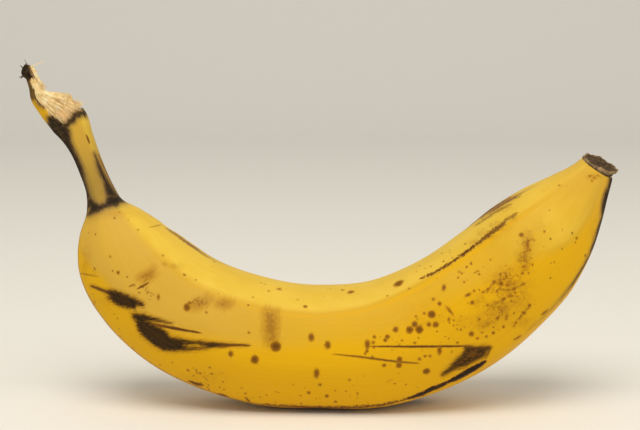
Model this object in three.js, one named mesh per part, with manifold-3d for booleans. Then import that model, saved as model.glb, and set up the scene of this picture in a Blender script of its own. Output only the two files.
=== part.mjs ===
// A ripe banana, as picked, standing on the lowest part of its curved back.
// It grew as one piece, so it is one closed solid: torn tip, stalk, body, neck and flower scar.
// Millimetres, +Z up. The origin is on the small flat that it rests on, straight under the middle
// of its weight. +X runs from the stalk to the flower scar, and -Y is the side with three ridges.

import * as THREE from 'three';
import { mergeVertices } from 'three/addons/utils/BufferGeometryUtils.js';
import Module from 'manifold-3d';

// The middle line of the fruit and its thickness along it, from the torn tip to the scar.
// Each station: x, z, high (thickness in the plane of the bend), wide (thickness front to back),
// roll (how far the ridges turn about the middle line, degrees), flat (1 is this fruit's usual
// facet, more is flatter). The middle line lies in the plane y = 0.
const TORN_TIP = [
  [-93.0, 103.4, 2.0, 1.8, 0, 1.0],
  [-93.2, 101.4, 3.8, 3.0, 0, 1.0],
  [-92.0, 99.2, 3.2, 3.0, 0, 1.0],
  [-91.0, 97.1, 3.8, 4.0, 0, 1.0],
  [-89.6, 94.1, 5.8, 6.5, 0, 1.0],
  [-86.2, 91.1, 8.8, 9.4, 0, 1.0],
];
const STALK = [
  [-81.3, 86.9, 11.3, 11.5, 0, 1.2],
  [-78.1, 81.2, 8.5, 9.5, 3, 1.5],
  [-74.5, 72.3, 7.3, 8.4, 5, 1.7],
  [-72.1, 65.7, 8.3, 9.0, 7, 1.6],
  [-70.8, 61.1, 11.2, 11.8, 7, 1.4],
];
const BODY = [
  [-69.3, 56.9, 18.7, 18.0, 6, 1.2],
  [-67.0, 51.3, 26.0, 25.4, 6, 1.1],
  [-63.8, 45.1, 31.0, 30.0, 5, 1.0],
  [-58.2, 38.1, 34.2, 33.0, 4, 1.0],
  [-49.5, 30.6, 36.0, 34.6, 4, 1.0],
  [-38.0, 24.5, 37.4, 36.4, 3, 1.0],
  [-23.0, 19.9, 37.7, 37.0, 2, 1.0],
  [-5.5, 18.3, 37.0, 37.0, 0, 1.0],
  [12.0, 19.2, 39.0, 38.0, -4, 1.0],
  [26.7, 23.9, 39.8, 38.6, -7, 1.0],
  [39.1, 31.2, 39.2, 38.4, -8, 1.0],
  [49.3, 39.8, 37.4, 36.8, -7, 1.0],
  [57.7, 49.1, 34.4, 33.5, -3, 1.0],
];
const NECK = [
  [64.5, 57.2, 27.8, 26.8, 1, 1.2],
  [70.2, 64.3, 19.4, 19.2, 3, 1.3],
  [74.0, 69.4, 13.5, 13.5, 4, 1.3],
  [76.8, 73.7, 9.7, 9.8, 6, 1.2],
];

// The skin is five shallow arches that meet in five ridges. Angles are in degrees about the
// middle line, from the hollow side of the bend (0) over the front (90) to the back of the curve.
const RIDGE_ANGLES = [48, 96, 142, 208, 298];
const FACE_SAGS = [0.035, 0.045, 0.115, 0.07, 0.1];
const FACE_STEPS = [4, 4, 6, 8, 8];
const RIDGE_SHARPNESS = 34;
const RING_SPACING = 0.1;
const LEAST_SPACING = 1.6;

// Where the bunch was torn off, the skin is gone on one side and bare fibre shows.
const TORN_FROM_ANGLE = -75;
const TORN_TO_ANGLE = 108;
const TORN_DEPTH = 0.7;
const TORN_STEP = 0.4;
const FIBRE_COUNT = 15;
const FIBRE_THICKNESS = 0.85;
const FREE_FIBRE_LIFT = 1.3;
const RANDOM_SEED = 7;

// Stiff dry hairs at the very tip: where each leaves it and where it ends.
const TIP_HAIRS = [
  { from: [-92.6, 102.2], to: [-89.2, 105.0], front: -0.6 },
  { from: [-93.4, 101.0], to: [-96.2, 99.9], front: 0.4 },
  { from: [-93.0, 102.6], to: [-93.9, 105.0], front: 0.2 },
];
const HAIR_ROOT = 1.0;
const HAIR_END = 0.6;

// The dried flower scar, as rings past the last station: how far along, and how wide.
const SCAR_PROFILE = [
  { along: 0.7, width: 1.07 },
  { along: 1.5, width: 1.1 },
  { along: 2.2, width: 1.03 },
  { along: 2.6, width: 0.86 },
  { along: 2.4, width: 0.66 },
  { along: 1.9, width: 0.42 },
  { along: 2.2, width: 0.18 },
];
const SCAR_LEAN = 0.35;
const SCAR_WAVE = 0.05;
const SCAR_KNOB = { x: 81.9, z: 73.0, radius: 1.1 };

const stations = [...TORN_TIP, ...STALK, ...BODY, ...NECK];
const knots = distancesBetween(stations);
const tornRim = knots[TORN_TIP.length];
const fruitLength = knots[knots.length - 1];
const skinAngles = anglesAroundSkin();

function distancesBetween(rows) {
  const result = [0];
  for (let i = 1; i < rows.length; i += 1) {
    const step = Math.hypot(rows[i][0] - rows[i - 1][0], rows[i][1] - rows[i - 1][1]);
    result.push(result[i - 1] + step);
  }
  return result;
}

// A smooth curve through the stations: the slope at each is the mean of its two neighbours'
// slopes, weighted by the other's length, and a cubic joins one station to the next.
function smoothThrough(column, at) {
  const values = stations.map((row) => row[column]);
  const last = values.length - 1;
  const gap = (i) => knots[i + 1] - knots[i];
  const rise = (i) => (values[i + 1] - values[i]) / gap(i);
  const slope = (i) => {
    if (i === 0) return rise(0);
    if (i === last) return rise(last - 1);
    return (gap(i) * rise(i - 1) + gap(i - 1) * rise(i)) / (gap(i - 1) + gap(i));
  };
  let i = 0;
  while (i < last - 1 && at >= knots[i + 1]) i += 1;
  const u = (at - knots[i]) / gap(i);
  const rest = 1 - u;
  return (1 + 2 * u) * rest * rest * values[i] + u * rest * rest * gap(i) * slope(i)
    + u * u * (3 - 2 * u) * values[i + 1] - u * u * rest * gap(i) * slope(i + 1);
}

function middleLine(at) {
  const nudge = 0.01;
  const [x, z, high, wide, roll, flat] = [0, 1, 2, 3, 4, 5].map((c) => smoothThrough(c, at));
  const run = smoothThrough(0, at + nudge) - smoothThrough(0, at - nudge);
  const climb = smoothThrough(1, at + nudge) - smoothThrough(1, at - nudge);
  const along = new THREE.Vector3(run, 0, climb).normalize();
  const inward = new THREE.Vector3(-along.z, 0, along.x);
  const front = new THREE.Vector3(0, -1, 0);
  return { centre: new THREE.Vector3(x, 0, z), along, inward, front, high, wide, roll, flat };
}

function anglesAroundSkin() {
  const angles = [];
  RIDGE_ANGLES.forEach((ridge, face) => {
    const next = RIDGE_ANGLES[face + 1] ?? RIDGE_ANGLES[0] + 360;
    for (let step = 0; step < FACE_STEPS[face]; step += 1) {
      angles.push(ridge + ((next - ridge) * step) / FACE_STEPS[face]);
    }
  });
  return angles;
}

// How far the skin is from the middle line at an angle, with the ridges at 1: each face is an
// arch that sags between its two ridges, and a power mean picks the least of the five.
function skinRadius(angle, flat) {
  let total = 0;
  RIDGE_ANGLES.forEach((ridge, face) => {
    const next = RIDGE_ANGLES[face + 1] ?? RIDGE_ANGLES[0] + 360;
    const middle = (ridge + next) / 2;
    const half = (next - ridge) / 2;
    const off = THREE.MathUtils.euclideanModulo(angle - middle + 180, 360) - 180;
    const arch = 1 - FACE_SAGS[face] * flat * (1 - (off / half) ** 2);
    total += arch ** -RIDGE_SHARPNESS;
  });
  return total ** (-1 / RIDGE_SHARPNESS);
}

// The section at a place along the fruit, as a function from an angle to a point: stretched so
// that it is exactly high by wide, then dented where the skin is torn away.
function sectionAt(at) {
  const line = middleLine(THREE.MathUtils.clamp(at, 0, fruitLength));
  const spot = (angle) => {
    const radius = skinRadius(angle - line.roll, line.flat);
    const turn = THREE.MathUtils.degToRad(angle);
    return { up: radius * Math.cos(turn), out: radius * Math.sin(turn) };
  };
  const spots = skinAngles.map((angle) => spot(angle + line.roll));
  const range = (key) => {
    const values = spots.map((entry) => entry[key]);
    return [Math.min(...values), Math.max(...values)];
  };
  const [lowUp, highUp] = range('up');
  const [lowOut, highOut] = range('out');
  const pointAt = (angle, lift = 0) => {
    const { up, out } = spot(angle);
    const rise = ((2 * up - lowUp - highUp) / (highUp - lowUp)) * (line.high / 2);
    const reach = ((2 * out - lowOut - highOut) / (highOut - lowOut)) * (line.wide / 2);
    const size = Math.hypot(rise, reach);
    const scale = (size + lift) / size;
    return line.centre.clone()
      .addScaledVector(line.inward, rise * scale)
      .addScaledVector(line.front, reach * scale);
  };
  return { ...line, pointAt };
}

function isTorn(at, angle) {
  const turned = THREE.MathUtils.euclideanModulo(angle - TORN_FROM_ANGLE, 360);
  return at < tornRim - TORN_STEP && turned < TORN_TO_ANGLE - TORN_FROM_ANGLE;
}

function skinRing(at) {
  const section = sectionAt(at);
  return skinAngles.map((skinAngle) => {
    const angle = skinAngle + section.roll;
    const shrink = Math.min(1, section.high / 6);
    return section.pointAt(angle, isTorn(at, angle) ? -TORN_DEPTH * shrink : 0);
  });
}

function fruitRings() {
  const rings = [];
  let at = 0;
  while (at < fruitLength - LEAST_SPACING / 2) {
    rings.push(skinRing(at));
    const step = Math.max(LEAST_SPACING, RING_SPACING * smoothThrough(2, at));
    const beforeRim = at < tornRim - TORN_STEP && at + step >= tornRim - TORN_STEP;
    if (beforeRim) rings.push(skinRing(tornRim - TORN_STEP - 0.05));
    at = beforeRim ? tornRim : at + step;
  }
  rings.push(skinRing(fruitLength));
  return rings;
}

function scarRings() {
  const section = sectionAt(fruitLength);
  return SCAR_PROFILE.map(({ along, width }) => skinAngles.map((skinAngle) => {
    const turn = THREE.MathUtils.degToRad(skinAngle);
    const wave = 1 + SCAR_WAVE * Math.sin(5 * turn + 1) * Math.cos(2 * turn);
    const lean = 1 - SCAR_LEAN * Math.cos(turn);
    const edge = section.pointAt(skinAngle + section.roll).sub(section.centre);
    return section.centre.clone()
      .addScaledVector(edge, width * wave)
      .addScaledVector(section.along, along * lean);
  }));
}

// A closed surface over rings of points that turn the same way, with a point closing each end.
function closedSurface(rings) {
  const count = rings[0].length;
  const middleOf = (ring) => ring
    .reduce((sum, point) => sum.add(point), new THREE.Vector3())
    .divideScalar(count);
  const points = [...rings.flat(), middleOf(rings[0]), middleOf(rings[rings.length - 1])];
  const firstPole = rings.length * count;
  const index = [];
  for (let j = 0; j < count; j += 1) {
    const next = (j + 1) % count;
    const lastRow = (rings.length - 1) * count;
    index.push(firstPole, next, j);
    index.push(firstPole + 1, lastRow + j, lastRow + next);
    for (let i = 0; i < rings.length - 1; i += 1) {
      const row = i * count;
      index.push(row + j, row + next, row + count + j);
      index.push(row + next, row + count + next, row + count + j);
    }
  }
  const geometry = new THREE.BufferGeometry().setFromPoints(points);
  geometry.setIndex(index);
  return geometry;
}

// A tapered strand along a route of points, four-sided, closed at both ends.
function strand(route, rootThickness, endThickness) {
  const curve = new THREE.CatmullRomCurve3(route);
  const steps = 4;
  const frames = curve.computeFrenetFrames(steps, false);
  const rings = [];
  for (let i = 0; i <= steps; i += 1) {
    const radius = THREE.MathUtils.lerp(rootThickness, endThickness, i / steps) / Math.SQRT2;
    const centre = curve.getPoint(i / steps);
    rings.push([0, 1, 2, 3].map((corner) => {
      const turn = ((corner + 0.5) * Math.PI) / 2;
      return centre.clone()
        .addScaledVector(frames.normals[i], radius * Math.cos(turn))
        .addScaledVector(frames.binormals[i], radius * Math.sin(turn));
    }));
  }
  return closedSurface(rings);
}

// A small repeatable stream of numbers from 0 to 1.
function randomStream(seed) {
  let state = seed;
  return () => {
    state = (state * 16807) % 2147483647;
    return state / 2147483647;
  };
}

// Fibres lie along the torn face, rooted near the tip. Those near the upper edge of the rim have
// come loose and stand up at their ends.
function tornFibres() {
  const random = randomStream(RANDOM_SEED);
  const fibres = [];
  for (let i = 0; i < FIBRE_COUNT; i += 1) {
    const share = (i + 0.5) / FIBRE_COUNT;
    const angle = THREE.MathUtils.lerp(TORN_FROM_ANGLE + 8, TORN_TO_ANGLE - 8, share);
    const start = tornRim * (0.4 + 0.18 * random());
    const end = tornRim - 0.8 + 1.6 * random();
    const loose = Math.max(0, Math.cos(THREE.MathUtils.degToRad(angle - 10))) * random();
    const lifts = [-1.1, -0.7, -0.6, -0.5 + FREE_FIBRE_LIFT * loose];
    const route = lifts.map((lift, k) => {
      const at = THREE.MathUtils.lerp(start, end, k / 3);
      return sectionAt(at).pointAt(angle + 5 * (random() - 0.5), lift);
    });
    fibres.push(strand(route, FIBRE_THICKNESS, 0.75 * FIBRE_THICKNESS));
  }
  return fibres;
}

function tipHairs() {
  return TIP_HAIRS.map(({ from, to, front }) => {
    const root = new THREE.Vector3(from[0], -front / 2, from[1]);
    const end = new THREE.Vector3(to[0], -front, to[1]);
    const middle = root.clone().lerp(end, 0.5).add(new THREE.Vector3(0, 0, 0.2));
    return strand([root, middle, end], HAIR_ROOT, HAIR_END);
  });
}

function scarKnob() {
  const knob = new THREE.SphereGeometry(SCAR_KNOB.radius, 8, 6);
  return knob.translate(SCAR_KNOB.x, 0, SCAR_KNOB.z);
}

function spaceBelowFloor() {
  const size = 400;
  return new THREE.BoxGeometry(size, size, size).translate(0, 0, -size / 2);
}

const wasm = await Module();
wasm.setup();

function toSolid(geometry) {
  const bare = geometry.clone();
  bare.deleteAttribute('normal');
  bare.deleteAttribute('uv');
  const merged = mergeVertices(bare, 1e-4);
  return new wasm.Manifold(new wasm.Mesh({
    numProp: 3,
    vertProperties: new Float32Array(merged.attributes.position.array),
    triVerts: new Uint32Array(merged.index.array),
  }));
}

function toGeometry(solid) {
  const mesh = solid.getMesh();
  const geometry = new THREE.BufferGeometry();
  geometry.setAttribute('position', new THREE.BufferAttribute(mesh.vertProperties, 3));
  geometry.setIndex(new THREE.BufferAttribute(mesh.triVerts, 1));
  geometry.computeVertexNormals();
  return geometry;
}

function makeBanana() {
  const skin = toSolid(closedSurface([...fruitRings(), ...scarRings()]));
  const additions = [...tornFibres(), ...tipHairs(), scarKnob()].map(toSolid);
  const grown = additions.reduce((body, piece) => body.add(piece), skin);
  const rested = grown.subtract(toSolid(spaceBelowFloor()));
  const peel = new THREE.MeshStandardMaterial({ color: 0xe6b42c, roughness: 0.5, metalness: 0 });
  const banana = new THREE.Mesh(toGeometry(rested), peel);
  banana.name = 'banana';
  return banana;
}

const fruit = new THREE.Group();
fruit.name = 'fruit';
fruit.add(makeBanana());

export default fruit;
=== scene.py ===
# %% [markdown]
# A ripe banana stands on its curved back. The imported model is one closed solid in metres, and it is
# loaded first, because everything made here has to sit exactly where that solid is.

# %% Load the imported model
import math

import bpy
import numpy as np
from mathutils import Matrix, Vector


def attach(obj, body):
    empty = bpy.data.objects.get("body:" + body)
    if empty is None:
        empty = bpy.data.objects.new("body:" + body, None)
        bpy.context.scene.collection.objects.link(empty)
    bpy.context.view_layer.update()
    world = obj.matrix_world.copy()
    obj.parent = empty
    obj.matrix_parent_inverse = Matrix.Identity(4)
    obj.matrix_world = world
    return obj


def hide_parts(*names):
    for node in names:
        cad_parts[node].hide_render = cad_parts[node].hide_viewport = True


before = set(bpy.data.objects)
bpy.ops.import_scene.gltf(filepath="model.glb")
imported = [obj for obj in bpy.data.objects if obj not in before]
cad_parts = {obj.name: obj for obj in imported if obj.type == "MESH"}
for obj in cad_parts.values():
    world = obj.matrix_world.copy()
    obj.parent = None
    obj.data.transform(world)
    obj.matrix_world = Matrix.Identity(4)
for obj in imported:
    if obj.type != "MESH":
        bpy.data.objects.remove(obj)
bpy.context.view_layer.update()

FRUIT_NODE = "banana"
MM = 0.001

# %% [markdown]
# The camera comes before the surface, because the marks on this fruit are placed where a
# photograph shows them. A long lens from a little above the table keeps both ends of the fruit
# true to size. We could guess its place by eye, but a pixel of a known size gives it exactly:
# the distance is the one at which a pixel at the fruit's middle covers 0.3 mm.

# %% The camera, and where a point of the fruit falls in its picture
PHOTO_WIDTH = 640
PHOTO_HEIGHT = 430
LENS_MM = 85.0
SENSOR_MM = 36.0
PIXEL_MM = 0.30
CAMERA_ELEVATION = math.radians(8.0)
CAMERA_AIM = np.array([-6.5, 0.0, 58.5])
CLIP_M = (0.05, 20.0)

camera_distance = PIXEL_MM * PHOTO_WIDTH * LENS_MM / SENSOR_MM
camera_forward = np.array([0.0, math.cos(CAMERA_ELEVATION), -math.sin(CAMERA_ELEVATION)])
camera_up = np.array([0.0, math.sin(CAMERA_ELEVATION), math.cos(CAMERA_ELEVATION)])
camera_right = np.array([1.0, 0.0, 0.0])
camera_place = CAMERA_AIM - camera_forward * camera_distance

camera = bpy.data.objects.new("camera", bpy.data.cameras.new("camera"))
camera.data.lens = LENS_MM
camera.data.sensor_width = SENSOR_MM
camera.data.clip_start, camera.data.clip_end = CLIP_M
camera.location = Vector(camera_place * MM)
camera.rotation_euler = (math.pi / 2 - CAMERA_ELEVATION, 0.0, 0.0)
bpy.context.collection.objects.link(camera)
bpy.context.scene.camera = camera


def photo_place(points):
    """The pixel that a point falls on: its offset to the right and up, over its depth, times
    the lens length in pixels, from the middle of the picture. Points are in mm."""
    away = points - camera_place
    scale = LENS_MM / SENSOR_MM * PHOTO_WIDTH / (away @ camera_forward)
    across = PHOTO_WIDTH / 2 + scale * (away @ camera_right)
    down = PHOTO_HEIGHT / 2 - scale * (away @ camera_up)
    return np.stack([across, down], axis=-1)


print("camera distance in mm:", round(camera_distance, 1))

# %% [markdown]
# The fruit is a section that is carried along a bent middle line. A modeller could sculpt it,
# but a banana grows to a plain rule: five flat-sided arches meet in five soft ridges, and the
# whole section swells and shrinks along the bend. So the form is a function of two numbers, the
# distance along the fruit and the angle round it. The stations are the same ones as in the
# solid model, so the new skin lies on the solid.

# %% The stations of the middle line
# x, z, high (thickness in the plane of the bend), wide (front to back), in mm, then roll (how
# far the ridges turn, in degrees) and flat (how flat the faces are).
TORN_TIP = [
    (-93.0, 103.4, 2.0, 1.8, 0, 1.0),
    (-93.2, 101.4, 3.8, 3.0, 0, 1.0),
    (-92.0, 99.2, 3.2, 3.0, 0, 1.0),
    (-91.0, 97.1, 3.8, 4.0, 0, 1.0),
    (-89.6, 94.1, 5.8, 6.5, 0, 1.0),
    (-86.2, 91.1, 8.8, 9.4, 0, 1.0),
]
STALK = [
    (-81.3, 86.9, 11.3, 11.5, 0, 1.2),
    (-78.1, 81.2, 8.5, 9.5, 3, 1.5),
    (-74.5, 72.3, 7.3, 8.4, 5, 1.7),
    (-72.1, 65.7, 8.3, 9.0, 7, 1.6),
    (-70.8, 61.1, 11.2, 11.8, 7, 1.4),
]
BODY = [
    (-69.3, 56.9, 18.7, 18.0, 6, 1.2),
    (-67.0, 51.3, 26.0, 25.4, 6, 1.1),
    (-63.8, 45.1, 31.0, 30.0, 5, 1.0),
    (-58.2, 38.1, 34.2, 33.0, 4, 1.0),
    (-49.5, 30.6, 36.0, 34.6, 4, 1.0),
    (-38.0, 24.5, 37.4, 36.4, 3, 1.0),
    (-23.0, 19.9, 37.7, 37.0, 2, 1.0),
    (-5.5, 18.3, 37.0, 37.0, 0, 1.0),
    (12.0, 19.2, 39.0, 38.0, -4, 1.0),
    (26.7, 23.9, 39.8, 38.6, -7, 1.0),
    (39.1, 31.2, 39.2, 38.4, -8, 1.0),
    (49.3, 39.8, 37.4, 36.8, -7, 1.0),
    (57.7, 49.1, 34.4, 33.5, -3, 1.0),
]
NECK = [
    (64.5, 57.2, 27.8, 26.8, 1, 1.2),
    (70.2, 64.3, 19.4, 19.2, 3, 1.3),
    (74.0, 69.4, 13.5, 13.5, 4, 1.3),
    (76.8, 73.7, 9.7, 9.8, 6, 1.2),
]
RIDGE_ANGLES = np.array([48.0, 96.0, 142.0, 208.0, 298.0])
FACE_SAGS = np.array([0.035, 0.045, 0.115, 0.07, 0.1])
RIDGE_SHARPNESS = 34.0

stations = np.array(TORN_TIP + STALK + BODY + NECK)
steps = np.hypot(np.diff(stations[:, 0]), np.diff(stations[:, 1]))
knots = np.concatenate([[0.0], np.cumsum(steps)])
torn_rim = knots[len(TORN_TIP)]
collar_at = knots[len(TORN_TIP) + len(STALK) - 1]
fruit_length = knots[-1]
print("length along the middle line in mm:", round(fruit_length, 1))

# %% [markdown]
# A soft polygon can be drawn with an outline, but an outline has to be filled in between the
# stations. A formula has a value at every angle: each face is a flat arch, and the least of the
# five arches, with its corners rounded off, is the skin. A cubic curve through the stations
# then gives the size at every place along.

# %% The skin as a function of the place along and the angle round
RANGE_PLACES = 600
RANGE_STEP = 3.0


def smooth_through(values, at):
    """A cubic curve through the stations. The slope at a station is the mean of the slopes on
    its two sides, each weighted by the other side's length."""
    gap = np.diff(knots)
    rise = np.diff(values) / gap
    inner = (gap[1:] * rise[:-1] + gap[:-1] * rise[1:]) / (gap[1:] + gap[:-1])
    slope = np.concatenate([[rise[0]], inner, [rise[-1]]])
    i = np.clip(np.searchsorted(knots, at, side="right") - 1, 0, len(gap) - 1)
    u = (at - knots[i]) / gap[i]
    start = (1 + 2 * u) * (1 - u) ** 2 * values[i] + u * (1 - u) ** 2 * gap[i] * slope[i]
    end = u * u * (3 - 2 * u) * values[i + 1] - u * u * (1 - u) * gap[i] * slope[i + 1]
    return start + end


def skin_radius(angle, flat):
    """Distance from the middle line, with the ridges at 1. Each face is an arch, one minus its
    sag times one minus the square of the share of the way to its ridge, and a power mean takes
    the least of the five arches and rounds the corner where two meet."""
    following = np.append(RIDGE_ANGLES[1:], RIDGE_ANGLES[0] + 360)
    total = 0.0
    for ridge, after, sag in zip(RIDGE_ANGLES, following, FACE_SAGS):
        off = (angle - (ridge + after) / 2 + 180) % 360 - 180
        arch = 1 - sag * flat * (1 - (2 * off / (after - ridge)) ** 2)
        total = total + arch ** -RIDGE_SHARPNESS
    return total ** (-1 / RIDGE_SHARPNESS)


def section_range():
    """The section's least and greatest reach up and out, at many places along the fruit."""
    at = np.linspace(0, fruit_length, RANGE_PLACES)[:, None]
    roll = smooth_through(stations[:, 4], at)
    turn = np.arange(0, 360, RANGE_STEP)[None, :] + roll
    radius = skin_radius(turn - roll, smooth_through(stations[:, 5], at))
    up = radius * np.cos(np.radians(turn))
    out = radius * np.sin(np.radians(turn))
    return at[:, 0], up.min(1), up.max(1), out.min(1), out.max(1)


RANGE_AT, LOW_UP, HIGH_UP, LOW_OUT, HIGH_OUT = section_range()
print("reach up, with the ridges at 1:", round(float(HIGH_UP.min()), 3), "or more")


def skin_points(at, angle, lift=0.0):
    """Points of the skin: the section, stretched to be exactly high by wide, is set square on
    the middle line. Lift moves a point out from the middle line."""
    at, angle, lift = np.broadcast_arrays(np.clip(at, 0, fruit_length), angle, lift)
    x, z, high, wide, roll, flat = (smooth_through(stations[:, c], at) for c in range(6))
    nudge = 0.01
    run = smooth_through(stations[:, 0], at + nudge) - smooth_through(stations[:, 0], at - nudge)
    climb = smooth_through(stations[:, 1], at + nudge) - smooth_through(stations[:, 1], at - nudge)
    size = np.hypot(run, climb)
    run, climb = run / size, climb / size
    radius = skin_radius(angle - roll, flat)
    low_up, high_up, low_out, high_out = (
        np.interp(at, RANGE_AT, edge) for edge in (LOW_UP, HIGH_UP, LOW_OUT, HIGH_OUT)
    )
    up = radius * np.cos(np.radians(angle))
    out = radius * np.sin(np.radians(angle))
    up = (2 * up - low_up - high_up) / (high_up - low_up) * high / 2
    out = (2 * out - low_out - high_out) / (high_out - low_out) * wide / 2
    scale = 1 + lift / np.hypot(up, out)
    up, out = up * scale, out * scale
    return np.stack([x - climb * up, -out, z + run * up], axis=-1)


# %% [markdown]
# Every piece here becomes a mesh from a grid of points, so two helpers do it for all of them.
# One turns rings of points into faces that point outwards and closes both ends. The other
# carries values that belong to the points, such as how far a point is from the edge of a
# bruise, to the material.

# %% Helpers: a mesh from rings of points, and values on its points


def ring_faces(rings, around, first=0):
    """Four-cornered faces between neighbouring rings, wrapped round, for points in row order."""
    i, j = np.meshgrid(np.arange(rings - 1), np.arange(around), indexing="ij")
    here = i * around + j
    beside = i * around + (j + 1) % around
    faces = np.stack([here, beside, beside + around, here + around], axis=-1)
    return faces.reshape(-1, 4) + first


def make_piece(name, points, quads, triangles=()):
    """A smooth mesh object at the origin, from points in mm and the corners of its faces."""
    mesh = bpy.data.meshes.new(name)
    faces = [tuple(face) for face in quads] + [tuple(face) for face in triangles]
    mesh.from_pydata((np.asarray(points) * MM).tolist(), [], faces)
    mesh.polygons.foreach_set("use_smooth", np.ones(len(mesh.polygons), bool))
    mesh.update()
    piece = bpy.data.objects.new(name, mesh)
    bpy.context.collection.objects.link(piece)
    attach(piece, "root")
    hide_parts(FRUIT_NODE)
    print(name, "has", len(points), "points and", len(faces), "faces")
    return piece


def close_ends(rings, around):
    """Triangles from the first and last ring to the two extra points that close them."""
    j = np.arange(around)
    after = (j + 1) % around
    last = (rings - 1) * around
    first_pole = rings * around
    start = np.stack([np.full(around, first_pole), after, j], axis=-1)
    end = np.stack([np.full(around, first_pole + 1), last + j, last + after], axis=-1)
    return np.concatenate([start, end])


def give_values(piece, name, values):
    """One value, or one vector, for each point of the piece, under a name."""
    values = np.asarray(values, np.float32)
    kind = "FLOAT" if values.ndim == 1 else "FLOAT_VECTOR"
    layer = piece.data.attributes.new(name, kind, "POINT")
    layer.data.foreach_set("value" if values.ndim == 1 else "vector", values.ravel())


def smooth_step(value, low, high):
    """From 0 at low to 1 at high, along a cubic that is level at both ends."""
    t = np.clip((value - low) / (high - low), 0, 1)
    return t * t * (3 - 2 * t)


# %% [markdown]
# Where the bunch was torn off, the peel is gone from one side of the tip and pale fibre shows.
# The skin steps down there by the thickness of the peel, behind a ragged rim. The dry nub at
# the very tip is lumpy. Small dents and swells along the fruit keep its highlights from being
# too perfect. All of these are a lift added to the skin's radius, because a lift is one number
# at each point and needs no sculpting.

# %% The lift of the skin: torn window, dry nub, dents and swells
TORN_FROM_ANGLE = -75.0
TORN_TO_ANGLE = 108.0
TORN_DEPTH = 0.7
RAGGED = 0.3
FINE_RAGGED = 0.14
NUB_LENGTH = 4.4
NUB_SPIKES = 24
NUB_BACK_ANGLE = 180.0
SWELL = 0.10
LIP_FROM = 11.5
LIP_AT = 17.3
LIP_HEIGHT = 1.4
LIP_HALF_ANGLE = 40.0

random = np.random.default_rng(12)


def arc(angle, middle, at):
    """Distance round the skin from one angle to another, in mm, with a sign."""
    radius = smooth_through(stations[:, 2], np.clip(at, 0, fruit_length)) / 2
    return np.radians((angle - middle + 180) % 360 - 180) * radius


def rim_wave(angle):
    """How far the ragged rim strays along the fruit, in mm: a slow sine and a fast one."""
    turn = np.radians(angle)
    return RAGGED * np.sin(5 * turn) + FINE_RAGGED * np.sin(17 * turn)


def torn_edges(at, angle):
    """How far inside the torn window a point is, in mm: the least of its distance to the rim
    and to the two long edges, each made ragged by a few sines. Negative is outside it."""
    rim = torn_rim - at + rim_wave(angle)
    middle = (TORN_FROM_ANGLE + TORN_TO_ANGLE) / 2
    half = arc(TORN_TO_ANGLE, middle, at)
    wave = RAGGED * np.sin(1.1 * at + 2) + 0.2 * np.sin(3.7 * at)
    return np.minimum(rim, half - np.abs(arc(angle, middle, at)) + wave)


def nub_spikes(at, angle):
    """Bell-shaped spikes of many sizes on the dry nub, as a sum, on the side away from the
    hollow of the bend."""
    total = np.zeros(np.broadcast(at, angle).shape)
    for _ in range(NUB_SPIKES):
        middle_at = random.uniform(0.2, NUB_LENGTH)
        middle_angle = NUB_BACK_ANGLE + random.uniform(-130, 130)
        height = random.uniform(-1.9, 0.6)
        width = random.uniform(0.35, 0.8)
        away = (at - middle_at) ** 2 + arc(angle, middle_angle, at) ** 2
        total += height * np.exp(-away / width ** 2)
    return total


def lip_height(at, angle):
    """How far the torn fibre stands up before its upper strands break off: a bell round the
    hollow side of the bend, which rises along the fruit."""
    turned = (angle + 180) % 360 - 180
    return LIP_HEIGHT * np.exp(-(turned / LIP_HALF_ANGLE) ** 2) * smooth_step(at, LIP_FROM, LIP_AT)


def lip_step(at, angle):
    """From 1 before the ragged break to 0 after it."""
    turn = np.radians(angle)
    edge = LIP_AT + 0.5 * np.sin(11 * turn) + 0.3 * np.sin(29 * turn + 1)
    return 1 - smooth_step(at, edge, edge + 0.6)


def skin_lift(at, angle):
    """Sum of the torn step, its lip, the nub's spikes and slow swells, in mm."""
    thin = np.minimum(1, smooth_through(stations[:, 2], at) / 6)
    inside_edge = torn_edges(at, angle)
    torn = -TORN_DEPTH * thin * smooth_step(inside_edge, -0.15, 0.25)
    torn += lip_height(at, angle) * lip_step(at, angle) * smooth_step(inside_edge, 0.2, 1.2)
    spikes = np.where(at < NUB_LENGTH + 2, nub_spikes(at, angle), 0)
    turn = np.radians(angle)
    swell = SWELL * (np.sin(0.11 * at + 2 * turn) + 0.7 * np.sin(0.23 * at - 3 * turn + 1))
    return torn + spikes + swell * smooth_step(at, collar_at, collar_at + 15)


print("the torn window ends at", round(torn_rim, 1), "mm and the collar is at", round(collar_at, 1))

# %% [markdown]
# The skin's points form a grid of rings. Even spacing would waste points on the plain belly, so
# the rings stand close at the torn tip and on the stalk. The points of a ring crowd towards the
# front, which carries most marks. The last rings lean with the flower scar. Where the fruit
# rests, points below the table are raised to it, which leaves a small flat.

# %% The grid of the skin
AROUND = 208
END_FROM = fruit_length - 12.0
RING_STRETCHES = [(0.0, 5.0, 36), (5.0, 30.0, 72), (30.0, 64.0, 76), (64.0, END_FROM, 246)]
END_RINGS = 26
FRONT_CROWDING = 20.0
END_TILT = 1.0

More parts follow.
